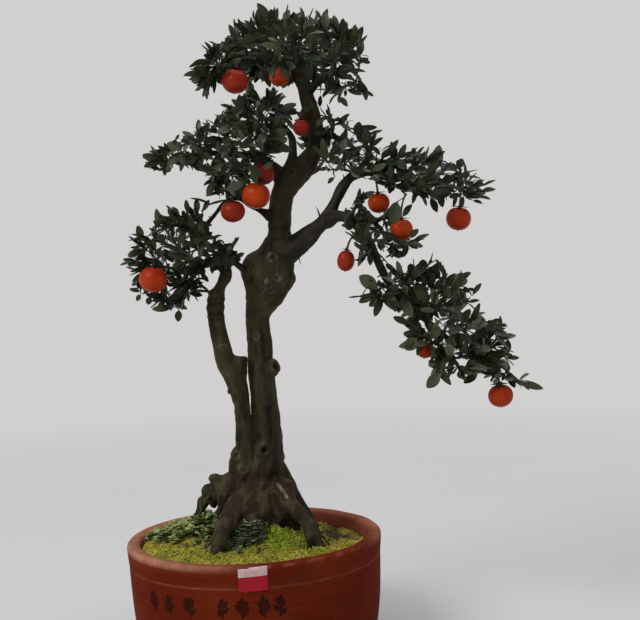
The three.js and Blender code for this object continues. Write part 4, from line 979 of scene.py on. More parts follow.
def dress_wood(mesh, names, smoothing, coarse):
    """Smooths a remeshed skin and works the bark into it. The coarse one has scars and root crotches."""
    places = mesh_places(mesh)
    edges = mesh_edges(mesh)
    count = np.maximum(np.bincount(edges.ravel(), minlength=len(places)), 1)
    for _ in range(smoothing):
        for step in (0.55, -0.57):
            places = places + step * (neighbours_mean(places, edges, count) - places)
    if coarse:
        level = places[:, 2:3]
        crotches = smoothstep(225, 190, level) * smoothstep(112, 122, level)
        for _ in range(CROTCH_ROUNDS):
            places = places + 0.5 * crotches * (neighbours_mean(places, edges, count) - places)
    move_points(mesh, places)
    normals = mesh_normals(mesh)
    unrolled, radius = LimbMap(names).find(places)
    size = np.clip(radius / 15, 0.12, 1.4)
    ridges = fractal(unrolled / (7.5, 7.5, 46), 11, 2) * 1.3 * size
    lumps = fractal(unrolled / (4.6, 4.6, 11), 23, 3) * 0.8 * size
    wrinkles = value_noise(unrolled / (8, 8, 2.3), 37) * 0.16 * np.sqrt(size)
    rough = fractal(places / 2.4, 41, 2) * 0.14
    height = ridges + lumps + wrinkles + rough
    low = smoothstep(235, 165, places[:, 2])
    height -= 0.45 * low * ridges
    height += low * fractal(places / (10, 10, 15), 53, 3) * 1.6 * size
    height += low * 1.1 * (0.35 - np.abs(value_noise(places / (7, 7, 13), 59))) * size
    # The relief goes to the bark shader, which paints shade in the furrows where it is low.
    relief = 0.5 + height / (2.6 * np.maximum(size, 0.2)) * 0.9
    marks = np.zeros((len(places), 3))
    if coarse:
        work_scars(places, height, marks)
        work_dead_wood(places, normals, height, marks)
        work_collars(places, height, relief)
    moss = smoothstep(150, 118, places[:, 2]) * smoothstep(-0.1, 0.5, fractal(places / 9, 91, 3))
    marks[:, 2] = 0.8 * moss
    height = height[:, None]
    height += 0.5 * (neighbours_mean(height, edges, count) - height)
    move_points(mesh, places + normals * height)
    put_values(mesh, marks)
    put_number(mesh, np.clip(relief, 0, 1), "relief")
    mesh.polygons.foreach_set("use_smooth", [True] * len(mesh.polygons))


TRUNK_VOXEL = 1.5
BRANCH_VOXEL = 0.95


def make_trunk():
    """The two trunks and the roots in one skin, with their knots and swellings."""
    shells = Shells()
    for name in STOUT_LIMBS:
        shells.tube(LIMB_LINES[name].rows, 24)
    for rows in ROOTLETS:
        shells.tube(spline(rows), 10)
    for centre, size in KNOTS + SWELLINGS:
        shells.ball(centre, size)
    mesh = remeshed(shells, "wood_trunk", TRUNK_VOXEL)
    dress_wood(mesh, STOUT_LIMBS, 5, True)
    stands_for(placed("wood_trunk", mesh, [BARK]), "bark", "wood")


def make_branches():
    """The thinner limbs in one skin, each with a flared foot and slight swellings along it."""
    shells = Shells()
    for name in THIN_LIMBS:
        rows = LIMB_LINES[name].rows.copy()
        share = np.linspace(0, 1, len(rows))
        reach = LIMB_LINES[name].reach
        rows[:, 3] *= 1 + 0.35 * np.exp(-((reach / (2.2 * rows[0, 3])) ** 2))
        rows[:, 3] *= 1 + 0.07 * np.sin(reach / 5.5 + 3 * share)
        shells.tube(rows, 12)
    mesh = remeshed(shells, "wood_branches", BRANCH_VOXEL)
    dress_wood(mesh, THIN_LIMBS, 3, False)
    stands_for(placed("wood_branches", mesh, [THIN_BARK]), "bark", "wood")


THORNY_LIMBS = [name for name in THIN_LIMBS if name != "crown_back"]
THORN_PITCH = 27
# Spurs that show in the picture: the limb, the place on it counted in points, and where the tip shows.
SEEN_SPURS = [
    ("east", 2.6, (316, 206)), ("east", 0.9, (301, 265)), ("east", 5.4, (356, 172)),
    ("cascade", 3.5, (392, 268)),
]


def make_thorns():
    """Thorns and short bare spurs on the limbs."""
    shells = Shells()
    for number, name in enumerate(THORNY_LIMBS):
        line = LIMB_LINES[name]
        tangents, sides, others = frames_along(line.rows[:, :3])
        for n in range(2, int(line.length / THORN_PITCH)):
            share = (n + 0.6 * draw(number, n, 31)) * THORN_PITCH / line.length
            if share > 0.97:
                continue
            index = int(share * (len(line.rows) - 1))
            start, radius = line.rows[index, :3], line.rows[index, 3]
            turn = 2 * math.pi * draw(number, n, 32)
            outward = sides[index] * math.cos(turn) + others[index] * math.sin(turn)
            outward = unit(outward + 0.45 * tangents[index] + 0.25 * UP)
            length = 4 + 8 * draw(number, n, 33) ** 2
            bend = unit(outward + 0.3 * tangents[index])
            middle = start + outward * (radius + 0.55 * length)
            tip = middle + bend * 0.45 * length
            surface = start + outward * radius
            shells.tube([(*start, 1.1), (*surface, 0.95), (*middle, 0.6), (*tip, 0.12)], 6)
    for limb, at, (x, y) in SEEN_SPURS:
        start = on_limb(limb, at)[:3]
        tip = place_seen(x, y, seen_at(start)[2] - 4)
        middle = 0.45 * start + 0.55 * tip + UP
        shells.tube([(*start, 1.5), (*middle, 1.0), (*tip, 0.2)], 6)
    stands_for(shells.object("wood_thorns", [TWIG]), "bark")


# Leaves and twigs

LEAF_ALONG = np.array([0.0, 0.1, 0.22, 0.38, 0.55, 0.72, 0.88])
LEAF_WIDTH = np.array([0.09, 0.11, 0.58, 0.92, 1.0, 0.84, 0.45])
SECTION_ACROSS = np.array([-1, -0.45, 0, 0.45, 1, 0])
SECTION_LIFT = np.array([0, 0.2, 0.1, 0.2, 0, -0.3])  # of the thickness, in mm
SECTION_UNDER = np.array([0.5, 0, 0, 0, 0.5, 1])


def leaf_rings(base, direction, face, length, width, droop, fold, twist, wave):
    """The rings of a blade on a short stalk: its two edges, three lines above and one below."""
    normal = unit(face - face.dot(direction) * direction)
    across = np.cross(direction, normal)
    along = LEAF_ALONG[:, None]
    half = 0.5 * width * LEAF_WIDTH[:, None]
    turn = twist * along
    out = SECTION_ACROSS[None] * half
    spread = np.abs(out)
    lift = fold * spread + 0.05 * length * np.sin(6.0 * along + wave) * spread / (0.5 * width) * 0.6
    lift = lift + SECTION_LIFT[None] * np.minimum(1, half / 1.5) - droop * length * along**2
    aside = out * np.cos(turn) - (lift + droop * length * along**2) * np.sin(turn)
    up = lift * np.cos(turn) + out * np.sin(turn)
    middles = base + length * along[..., None] * direction
    return middles + aside[..., None] * across + up[..., None] * normal


class Foliage:
    """The twigs and leaves of one spray, in one mesh with an attribute that tells undersides."""

    def __init__(self, lightness):
        self.lightness = lightness
        self.shells = Shells()
        self.under = []

    def twig(self, line, first, last, base, tip, key):
        share = np.linspace(first, last, max(int(line.length * (last - first) / 3), 3))
        rows = np.column_stack([line.point(share), np.interp(share, [0, 1], [base, tip])])
        rows[:, 3] *= 1 + 0.16 * np.cos(share * line.length * 0.9 + key)
        self.shells.tube(rows, 6, material=1)
        self.under.append(np.zeros(len(rows) * 6 + 2))

    def leaf(self, base, direction, face, length, keys, width=None, tone=None):
        width = width or length * (0.25 + 0.13 * draw(*keys, 21))
        droop = 0.04 + 0.15 * draw(*keys, 22)
        fold = 0.06 + 0.22 * draw(*keys, 23)
        twist = 0.7 * (draw(*keys, 24) - 0.5)
        wave = 6 * draw(*keys, 25)
        rings = leaf_rings(base, direction, face, length * 0.93, width, droop, fold, twist, wave)
        tip = rings[-1].mean(0) + (rings[-1].mean(0) - rings[-2].mean(0)) * 0.55
        count, size = len(LEAF_ALONG), len(SECTION_ACROSS)
        points = np.vstack([rings.reshape(-1, 3), tip[None]])
        faces = side_faces(count, size)
        last = (count - 1) * size
        faces += [(last + n, last + (n + 1) % size, last + size) for n in range(size)]
        faces.append(tuple(range(size - 1, -1, -1)))
        if tone is None:
            tone = self.tone(base, keys)
        along = np.append(np.repeat(LEAF_ALONG, size), 1.0)
        across = np.append(np.tile(SECTION_ACROSS, count), 0.0)
        values = np.column_stack([along, across, np.full(len(along), tone)])
        border = np.append(np.tile(np.abs(SECTION_ACROSS) == 1, count), True)
        self.shells.add(points, faces, 0, values, border)
        self.under.append(np.append(np.tile(SECTION_UNDER, count), 0.5))

    def tone(self, base, keys):
        """How light a leaf is painted, by its spray, its neighbourhood and chance: painted light and shade
        along with the leaf's own tone. At 1 it is an old one.
        """
        if draw(*keys, 29) > 0.985:
            return 1.0
        group = 0.9 + 0.75 * value_noise(base[None] / 24, 67)[0]
        return min(max(self.lightness * draw(*keys, 26) * group, 0.02), 0.93)

    def object(self, name):
        piece = self.shells.object(name, [LEAF, TWIG])
        put_number(piece.data, np.concatenate(self.under), "under")
        return piece


ROUND = 6.28  # about a full turn


def face_of(*keys):
    """The way a twig's leaves face: up, and a little to one side."""
    turn = ROUND * draw(*keys, 3)
    return np.array([0.5 * math.cos(turn), 0.5 * math.sin(turn), 0.85])


def main_line(limb, at, path):
    """A spray's main twig, the limb's radius where it starts, and the share of it that stays bare."""
    root = on_limb(limb, at)
    line = Line(spline(np.vstack([root[:3], path])))
    return line, root[3], (root[3] + 5) / line.length


def side_line(main, stub, tip):
    """A side twig leaves the main one a little before the point nearest its tip."""
    tip = np.array(tip, float)
    reaches = [np.linalg.norm(main.point(n / 20) - tip) for n in range(21)]
    reach = min(reaches)
    share = min(max(reaches.index(reach) / 20 - 0.55 * reach / main.length, stub + 0.06), 0.92)
    start = main.point(share)
    bend = start + main.tangent(share) * 0.35 * np.linalg.norm(start - tip)
    return Line(bent(start, bend, tip, 13))


# The leafy pads as the camera sees them: the corners round each, in the picture.
PADS = [
    [(190, 84), (194, 64), (210, 46), (225, 36), (236, 25), (250, 26), (254, 12), (260, 6), (267, 14),
     (280, 14), (292, 10), (312, 16), (326, 12), (333, 22), (342, 24), (352, 28), (364, 38), (362, 50),
     (368, 62), (340, 66), (314, 64), (310, 84), (296, 92), (280, 88), (262, 88), (240, 90), (215, 84),
     (205, 96)],
    [(142, 153), (149, 149), (160, 148), (175, 142), (185, 132), (200, 124), (216, 122), (222, 106),
     (240, 100), (250, 92), (262, 98), (274, 92), (282, 100), (298, 108), (318, 128), (322, 160),
     (300, 168), (290, 150), (274, 156), (262, 184), (246, 182), (240, 203), (222, 200), (200, 196),
     (208, 182), (199, 168), (176, 164), (160, 174), (145, 164)],
    [(380, 142), (400, 148), (420, 150), (430, 152), (444, 150), (441, 156), (450, 161), (464, 163),
     (474, 176), (492, 180), (486, 186), (490, 192), (478, 200), (462, 202), (444, 200), (438, 208),
     (430, 202), (410, 192), (386, 190), (376, 184)],
    [(322, 112), (330, 110), (347, 120), (360, 122), (378, 130), (374, 134), (380, 142), (376, 184),
     (368, 178), (350, 174), (340, 172), (326, 168), (318, 140)],
    [(338, 210), (348, 212), (354, 197), (361, 189), (374, 191), (388, 200), (396, 200), (398, 224),
     (412, 240), (424, 236), (416, 246), (404, 254), (392, 254), (380, 260), (360, 260), (353, 246),
     (346, 232), (340, 222)],
    [(362, 292), (366, 288), (362, 277), (374, 278), (388, 264), (402, 270), (415, 262), (432, 260),
     (446, 276), (466, 274), (464, 284), (474, 288), (468, 298), (466, 308), (482, 315), (504, 324),
     (512, 335), (508, 343), (514, 356), (510, 368), (522, 377), (534, 385), (526, 387), (505, 382),
     (490, 382), (474, 376), (464, 382), (450, 374), (432, 382), (434, 372), (426, 360), (408, 346),
     (412, 336), (396, 316), (388, 300), (378, 312), (370, 302)],
    [(124, 266), (132, 258), (132, 238), (138, 230), (146, 240), (158, 214), (180, 210), (194, 204),
     (203, 212), (210, 226), (222, 240), (236, 240), (232, 249), (240, 260), (230, 264), (219, 264),
     (208, 268), (206, 280), (202, 294), (190, 302), (180, 316), (174, 306), (156, 308), (150, 298),
     (134, 290), (137, 278)],
    [(312, 66), (340, 66), (362, 64), (362, 82), (370, 94), (352, 93), (346, 104), (338, 102),
     (326, 98), (318, 110), (310, 96)],
]
GAPS_LEFT = [0.0, 0.2, 0.3, 0.66, 0.38, 0.44, 0.0, 0.5]  # the share of each pad that stays bare
THICKER = {0: 1}  # more leaves for each cell of a pad before it counts as covered
# Bare stretches of wood that no leaf hides: places in the picture, and how far round them.
BARE = [
    ((372, 241), 5), ((377, 252), 6), ((381, 263), 6), ((385, 274), 6), ((389, 285), 5), ((338, 199), 7),
    ((334, 212), 7), ((344, 187), 6), ((225, 272), 6), ((222, 283), 8), ((302, 166), 5), ((212, 198), 5),
    ((304, 78), 7), ((304, 92), 7), ((305, 104), 6), ((300, 150), 5), ((296, 138), 5),
]
# Leaves placed one by one, for the outlines of the pads and the leaves that stand out in front:
# where the stalk and the tip show in the picture, the width there, how light the leaf is, and
# how far in front of its twig it is.
# The lightness of these leaves is painted light and shade: the light ones take a painted sheen, the darkest
# stand in for shade.
SET_LEAVES = [
    (271, 21, 257, 2, 8, 0.55, 0), (283, 21, 289, 9, 7, 0.5, 0), (292, 22, 301, 11, 4, 0.4, 0),
    (327, 32, 324, 10, 8, 0.66, 8), (308, 37, 307, 18, 9, 0.75, 20), (322, 21, 315, 10, 3, 0.4, 0),
    (330, 29, 337, 21, 3, 0.4, 0), (350, 48, 360, 33, 7, 0.8, 6), (357, 48, 367, 34, 3, 0.4, 0),
    (340, 44, 347, 33, 8, 0.3, 0), (350, 52, 364, 50, 3, 0.3, 0), (357, 59, 371, 62, 6, 0.35, 0),
    (348, 70, 366, 70, 4, 0.3, 0), (357, 89, 375, 95, 5, 0.35, 0), (338, 96, 348, 106, 6, 0.75, 0),
    (261, 25, 250, 21, 5, 0.4, 0), (254, 30, 245, 29, 4, 0.3, 0), (242, 46, 238, 32, 7, 0.7, 6),
    (235, 42, 236, 30, 3, 0.3, 0), (231, 52, 222, 44, 5, 0.5, 0), (296, 52, 314, 58, 8, 0.86, 26),
    (300, 55, 286, 44, 8, 0.7, 24), (318, 52, 331, 38, 7, 0.66, 18), (262, 68, 271, 87, 7, 0.6, 42),
    (291, 68, 282, 88, 9, 0.72, 42), (215, 58, 206, 50, 6, 0.45, 0), (203, 76, 191, 82, 6, 0.4, 0),
    (212, 62, 200, 60, 6, 0.45, 0), (207, 84, 194, 90, 4, 0.3, 0), (330, 70, 343, 78, 5, 0.3, 0),
    (345, 82, 358, 84, 5, 0.3, 0), (326, 84, 336, 92, 5, 0.3, 0), (282, 34, 272, 22, 7, 0.6, 10),
    (247, 163, 262, 176, 7, 0.35, 46), (274, 162, 263, 168, 6, 0.3, 46), (306, 40, 299, 24, 7, 0.4, 12),
    (316, 44, 318, 26, 8, 0.45, 14), (334, 54, 340, 40, 7, 0.4, 12), (322, 62, 334, 56, 8, 0.35, 16),
    (304, 62, 318, 68, 8, 0.3, 18), (326, 46, 332, 34, 6, 0.5, 6), (344, 62, 356, 68, 6, 0.35, 8),
    (298, 70, 308, 80, 7, 0.3, 20), (316, 128, 324, 116, 7, 0.5, 14), (310, 150, 300, 158, 8, 0.35, 16),
    (318, 140, 312, 126, 7, 0.3, 16), (300, 112, 312, 106, 7, 0.4, 14), (164, 163, 142, 153, 9, 0.4, 6),
    (166, 153, 149, 150, 4, 0.35, 0), (181, 150, 167, 142, 9, 0.72, 10), (175, 141, 179, 134, 3, 0.3, 0),
    (193, 137, 182, 131, 6, 0.66, 0), (198, 131, 200, 121, 4, 0.9, 0), (206, 132, 209, 122, 5, 0.5, 0),
    (227, 122, 216, 115, 5, 0.5, 0), (235, 108, 220, 104, 4, 0.6, 0), (238, 112, 224, 109, 4, 0.5, 0),
    (240, 106, 239, 94, 5, 0.45, 0), (259, 103, 241, 96, 5, 0.6, 0), (259, 98, 248, 87, 6, 0.45, 0),
    (161, 170, 150, 166, 5, 0.35, 0), (164, 166, 165, 176, 4, 0.3, 0), (193, 165, 200, 171, 4, 0.3, 0),
    (225, 163, 206, 175, 7, 0.45, 0), (230, 182, 215, 182, 8, 0.3, 0), (225, 192, 204, 194, 4, 0.4, 0),
    (213, 204, 189, 197, 3, 0.4, 0), (227, 199, 207, 205, 3, 0.35, 0), (256, 147, 267, 131, 8, 0.86, 24),
    (229, 148, 225, 135, 9, 0.74, 20), (232, 130, 245, 138, 8, 0.7, 18), (210, 148, 196, 150, 7, 0.66, 14),
    (250, 118, 262, 126, 7, 0.72, 16), (250, 170, 258, 184, 7, 0.6, 44), (337, 123, 350, 113, 4, 0.45, 0),
    (335, 125, 348, 118, 4, 0.4, 0), (330, 117, 326, 109, 4, 0.4, 0), (357, 138, 359, 121, 9, 0.35, 6),
    (367, 136, 383, 129, 4, 0.45, 0), (370, 145, 381, 155, 5, 0.4, 0), (434, 173, 440, 144, 12, 0.88, 26),
    (415, 158, 413, 147, 5, 0.45, 0), (402, 158, 404, 149, 4, 0.4, 0), (459, 168, 462, 158, 7, 0.45, 0),
    (480, 187, 496, 179, 3, 0.55, 0), (480, 192, 496, 188, 6, 0.4, 0), (473, 195, 492, 198, 4, 0.4, 0),
    (472, 200, 483, 203, 4, 0.3, 0), (430, 197, 438, 212, 8, 0.35, 0), (335, 177, 327, 183, 5, 0.35, 0),
    (329, 168, 318, 170, 5, 0.35, 0), (342, 152, 345, 138, 7, 0.7, 14), (372, 172, 386, 162, 8, 0.7, 16),
    (408, 170, 396, 160, 8, 0.66, 16), (440, 182, 455, 176, 8, 0.7, 18), (402, 218, 412, 203, 7, 0.55, 0),
    (398, 201, 393, 225, 13, 0.5, 34), (410, 239, 418, 228, 7, 0.35, 0), (410, 245, 429, 232, 6, 0.5, 0),
    (393, 252, 406, 255, 7, 0.3, 0), (374, 239, 380, 229, 6, 0.35, 0), (368, 248, 357, 246, 6, 0.3, 0),
    (370, 253, 370, 266, 5, 0.3, 0), (367, 259, 354, 260, 3, 0.3, 0), (361, 236, 351, 238, 4, 0.3, 0),
    (357, 202, 374, 190, 7, 0.45, 0), (354, 219, 345, 209, 7, 0.35, 0), (353, 229, 345, 227, 5, 0.3, 0),
    (352, 212, 341, 214, 5, 0.35, 0), (455, 282, 471, 271, 6, 0.6, 0), (472, 296, 481, 282, 5, 0.5, 0),
    (466, 302, 480, 300, 4, 0.45, 0), (447, 280, 437, 258, 6, 0.5, 6), (410, 325, 393, 316, 7, 0.66, 0),
    (418, 337, 405, 350, 12, 0.7, 10), (442, 372, 426, 388, 11, 0.66, 10), (459, 370, 461, 379, 6, 0.4, 0),
    (479, 373, 463, 383, 8, 0.45, 0), (516, 382, 545, 387, 8, 0.66, 0), (505, 358, 520, 357, 5, 0.5, 0),
    (496, 339, 517, 335, 7, 0.8, 8), (496, 327, 507, 323, 3, 0.5, 0), (509, 354, 508, 339, 6, 0.3, 0),
    (475, 337, 493, 321, 12, 0.82, 24), (491, 368, 462, 368, 9, 0.74, 26), (383, 297, 374, 317, 8, 0.35, 0),
    (379, 290, 359, 275, 13, 0.76, 6), (384, 294, 357, 295, 4, 0.35, 0), (362, 296, 348, 297, 2, 0.35, 0),
    (393, 271, 386, 263, 5, 0.5, 0), (410, 273, 411, 263, 6, 0.45, 0), (423, 269, 423, 259, 8, 0.35, 0),
    (428, 266, 432, 259, 3, 0.4, 0), (446, 342, 452, 358, 10, 0.84, 26), (430, 340, 440, 326, 9, 0.66, 18),
    (462, 322, 470, 308, 7, 0.5, 8), (414, 290, 428, 300, 10, 0.6, 20), (400, 284, 388, 292, 9, 0.62, 18),
    (480, 350, 492, 348, 8, 0.7, 24), (143, 241, 137, 225, 7, 0.45, 0), (143, 247, 128, 235, 3, 0.3, 0),
    (141, 248, 130, 247, 3, 0.3, 0), (141, 252, 127, 256, 8, 0.6, 0), (134, 260, 119, 265, 3, 0.4, 0),
    (167, 223, 157, 213, 5, 0.45, 0), (180, 219, 169, 209, 6, 0.5, 0), (162, 228, 153, 220, 5, 0.5, 0),
    (198, 214, 196, 198, 6, 0.45, 0), (188, 214, 186, 199, 5, 0.4, 0), (203, 212, 209, 199, 5, 0.45, 0),
    (229, 251, 239, 236, 4, 0.35, 0), (234, 259, 244, 252, 6, 0.35, 0), (227, 252, 231, 243, 8, 0.3, 0),
    (215, 249, 220, 239, 5, 0.3, 0), (174, 308, 151, 308, 8, 0.66, 0), (179, 309, 178, 322, 7, 0.45, 0),
    (150, 296, 148, 305, 6, 0.4, 0), (141, 292, 129, 288, 5, 0.35, 0), (141, 294, 136, 301, 6, 0.3, 0),
    (141, 281, 131, 285, 5, 0.35, 0), (188, 293, 203, 295, 6, 0.3, 0), (196, 282, 210, 291, 3, 0.35, 0),
    (200, 272, 209, 282, 5, 0.3, 0), (226, 269, 226, 253, 8, 0.15, 14), (220, 268, 215, 254, 7, 0.2, 12),
    (231, 268, 233, 255, 6, 0.25, 12), (222, 262, 213, 251, 7, 0.2, 0), (226, 262, 237, 250, 7, 0.25, 0),
    (224, 258, 221, 244, 8, 0.2, 4), (230, 262, 241, 258, 6, 0.3, 0), (219, 262, 206, 258, 6, 0.25, 0),
    (221, 266, 210, 270, 5, 0.3, 0), (205, 246, 193, 238, 9, 0.66, 16), (186, 232, 178, 244, 8, 0.6, 14),
    (166, 242, 158, 234, 7, 0.6, 8),
]


def inside(x, y, corners):
    """Whether a point is inside an outline."""
    crossings = 0
    for (x0, y0), (x1, y1) in zip(corners, corners[1:] + corners[:1]):
        if (y0 > y) != (y1 > y) and x < x0 + (y - y0) * (x1 - x0) / (y1 - y0):
            crossings += 1
    return crossings % 2 == 1


def pad_at(x, y):
    """Which pad shows there: its place in PADS, or None outside them and on bare wood."""
    if any(math.hypot(x - bare[0], y - bare[1]) < reach for bare, reach in BARE):
        return None
    return next((n for n, corners in enumerate(PADS) if inside(x, y, corners)), None)


FRUIT_CENTRES = np.array([fruit[0] for fruit in FRUITS], float)
FRUIT_RADII = np.array([fruit[1] for fruit in FRUITS])
FRUIT_ROOM = 2.5  # between a fruit and the leaves round it
SIGHT_ROOM = 3  # round a fruit, as the camera sees it
HALF_HIDDEN = {1: 0.45, 2: 0.6, 3: 0.5, 8: 0.7, 11: 0.55}  # fruits that leaves may partly cover, by place


def spoils_fruit(base, direction, length):
    """Whether a leaf would run through a fruit, or hide one that is seen from the front."""
    for share in (0.15, 0.4, 0.7, 1.0):
        point = base + direction * length * share
        if (np.linalg.norm(FRUIT_CENTRES - point, axis=1) < FRUIT_RADII + FRUIT_ROOM).any():
            return True
        sight = unit(point - EYE)
        for n, (centre, radius) in enumerate(zip(FRUIT_CENTRES, FRUIT_RADII)):
            depth = (centre - EYE) @ sight
            miss = np.linalg.norm(EYE + sight * depth - centre)
            hides = miss < (radius + SIGHT_ROOM) * HALF_HIDDEN.get(n, 1.0)
            if depth > np.linalg.norm(point - EYE) - 2 and hides:
                return True
    return False


LEAF_PITCH = 5.4  # along a twig
LEAF_LENGTH = 31
# Size and lightness of the leaves, by the first word of a spray's name. The lightness paints light and
# shade pad by pad: pads deep in shade are painted lighter and the lit crown darker.
LEAF_LOOKS = {
    "crown": (0.98, 0.52), "west": (0.9, 1.4), "mid": (0.9, 1.32), "east": (1.0, 0.56),
    "fork": (0.85, 0.6), "fall": (1.08, 1.6), "low": (0.88, 0.75),
}
CELL = 5  # pixels to a side of the cells in which leaves are counted
CROWDED = 6  # leaves in a cell that are enough
INSIDE_SHARE = 0.72  # the share of leaves whose tips stay on the pad too
cover = {}  # leaves counted by cell


def cell_of(point):
    x, y, _ = seen_at(point)
    return int(x // CELL), int(y // CELL)


def fits(base, direction, length, keys):
    """Whether a leaf stays on its pad and clear of the fruits, where leaves aren't crowded yet."""
    shake = 4 * (draw(*keys, 17) - 0.5)
    pads = []
    for share in (0.2, 0.55):
        x, y, _ = seen_at(base + direction * length * share)
        pads.append(pad_at(x + shake, y - shake))
    if None in pads or draw(*keys, 27) < 0.6 * GAPS_LEFT[pads[1]]:
        return False
    x, y, _ = seen_at(base + direction * length)
    if draw(*keys, 28) < INSIDE_SHARE and pad_at(x, y) is None:
        return False
    if cover.get(cell_of(base + direction * length * 0.6), 0) >= CROWDED:
        return False
    return not spoils_fruit(base, direction, length)


def count_leaf(base, direction, length):
    """Counts the leaf in the cells that it covers."""
    for share in (0.3, 0.6, 0.85):
        cell = cell_of(base + direction * length * share)
        cover[cell] = cover.get(cell, 0) + 1


def leafy_twig(foliage, line, start, keys, base, tip, flow, size, lone=False):
    """A twig with leaves in turn round it and a tuft at its end. A lone one without leaves isn't made."""
    last = 1.0
    while last > 0.4:
        x, y, _ = seen_at(line.point(last) + line.tangent(last) * 0.6 * LEAF_LENGTH * size)
        if pad_at(x, y) is not None:
            break
        last -= 0.08
    count = min(max(int(line.length * (last - start) / LEAF_PITCH), 2), 9)
    face_away = face_of(*keys)
    reached = 0
    for n in range(count + 2):
        leaf_keys = (*keys, n)
        ends = n >= count - 1
        share = min(start + (last - start) * (n + 0.4 * draw(*leaf_keys, 11)) / count, last)
        tangent = line.tangent(share)
        normal = unit(face_away - face_away.dot(tangent) * tangent)
        across = np.cross(tangent, normal)
        turn = n * GOLDEN_ANGLE + ROUND * draw(*keys, 12)
        lean = math.radians((24 if ends else 47) + 24 * (draw(*leaf_keys, 13) - 0.5))
        outward = across * math.cos(turn) + normal * math.sin(turn) * 0.75
        direction = unit(tangent * math.cos(lean) + outward * math.sin(lean) + UP * 0.2 + flow * 0.3)
        face = UP * 0.75 + tangent * (0.75 + 0.4 * (draw(*leaf_keys, 14) - 0.5))
        face = face + across * 0.9 * (draw(*leaf_keys, 15) - 0.5) - outward * 0.35
        length = size * LEAF_LENGTH * (0.45 + 0.62 * draw(*leaf_keys, 16))
        point = line.point(share)
        for shorter in (1.0, 0.74):
            if fits(point, direction, length * shorter, leaf_keys):
                foliage.leaf(point + direction * 0.6 * tip, direction, face, length * shorter, leaf_keys)
                count_leaf(point, direction, length * shorter)
                reached = max(reached, share)
                break
    if reached or not lone:
        foliage.twig(line, 0, max(reached, 0.3) if lone else last, base, tip, keys[0])


def spur_line(start, tangent, end):
    """A short twig that leaves another along its direction and bends to its end."""
    bend = start + tangent * 0.4 * np.linalg.norm(end - start)
    return Line(bent(start, bend, end, 7))


SPURS_PER_TWIG = 3
SPUR_REACH = 34  # the furthest that a spur grows to fill a gap
FILL_ROUNDS = 4


class Spray:
    """A spray while it grows: its twigs, its leaves and the way it leans."""

    def __init__(self, key, name, limb, at, path, tips):
        self.key = key
        self.name = name
        self.size, lightness = LEAF_LOOKS.get(name.split("_")[0], (0.9, 0.95))
        self.foliage = Foliage(lightness)
        main, self.thickness, self.stub = main_line(limb, at, path)
        self.flow = unit(main.point(1) - main.point(0))
        self.lines = [main] + [side_line(main, self.stub, tip) for tip in tips]

    def leafy(self, line, start, keys, base, tip, lone=False):
        leafy_twig(self.foliage, line, start, keys, base, tip, self.flow, self.size, lone)

    def spur(self, line, share, end, keys):
        spur = spur_line(line.point(share), line.tangent(share), end)
        self.leafy(spur, 0.4, keys, 0.95, 0.6, lone=True)

    def grow(self):
        self.leafy(self.lines[0], max(self.stub, 0.3), (self.key, 0), min(2.3, 0.8 * self.thickness), 0.8)
        for n, side in enumerate(self.lines[1:]):
            self.leafy(side, 0.25, (self.key, n + 1), 1.25, 0.7)
        for number, line in enumerate(self.lines):
            first = 0.1 if number else self.stub
            for n in range(SPURS_PER_TWIG):
                keys = (self.key, number + 20, n + 7)
                share = first + (1 - first) * (n + 0.5) / (SPURS_PER_TWIG + 0.6)
                swing = np.array([draw(*keys, 1) - 0.5, draw(*keys, 2) - 0.5, 0.8 * draw(*keys, 4) - 0.15])
                length = 12 + 11 * draw(*keys, 5)
                end = line.point(share) + unit(line.tangent(share) + 1.4 * swing) * length
                self.spur(line, share, end, keys)


def make_sprays():
    """Grows all the sprays: first the listed leaves, then each spray's own, then the gaps."""
    sprays = [Spray(key, name, *row) for key, (name, row) in enumerate(SPRAYS.items())]
    starts = []
    owners = []
    for spray in sprays:
        for n, line in enumerate(spray.lines):
            for share in np.linspace(max(0 if n else spray.stub, 0.15), 0.95, 7):
                starts.append(seen_at(line.point(share)))
                owners.append((spray, line, share))
    starts = np.array(starts)
    set_leaves(starts, owners)
    for spray in sprays:
        spray.grow()
    fill_gaps(starts, owners)
    for spray in sprays:
        stands_for(spray.foliage.object("leaves_" + spray.name), "leaf", "spray_" + spray.name)


def set_leaves(starts, owners):
    """Hangs each listed leaf on a short twig from the nearest one."""
    for n, (x0, y0, x1, y1, width, tone, forward) in enumerate(SET_LEAVES):
        best = int(np.hypot(starts[:, 0] - x0, starts[:, 1] - y0).argmin())
        spray, line, share = owners[best]
        depth = starts[best, 2] - forward - 3
        scale = depth / FOCAL
        base = place_seen(x0, y0, depth)
        reach = math.hypot(x1 - x0, y1 - y0) * scale
        tip = place_seen(x1, y1, depth - 0.3 * reach * (draw(n, 51) - 0.3))
        spur = spur_line(line.point(share), line.tangent(share), base)
        spray.foliage.twig(spur, 0, 1, 0.95, 0.55, n)
        face = 0.55 * UP - FORWARD + 0.5 * (draw(n, 52) - 0.5) * RIGHTWARD
        length = np.linalg.norm(tip - base) / 0.92
        keys = (n, 53)
        spray.foliage.leaf(base, unit(tip - base), face, length, keys, 1.1 * width * scale, tone)
        count_leaf(base, unit(tip - base), length)


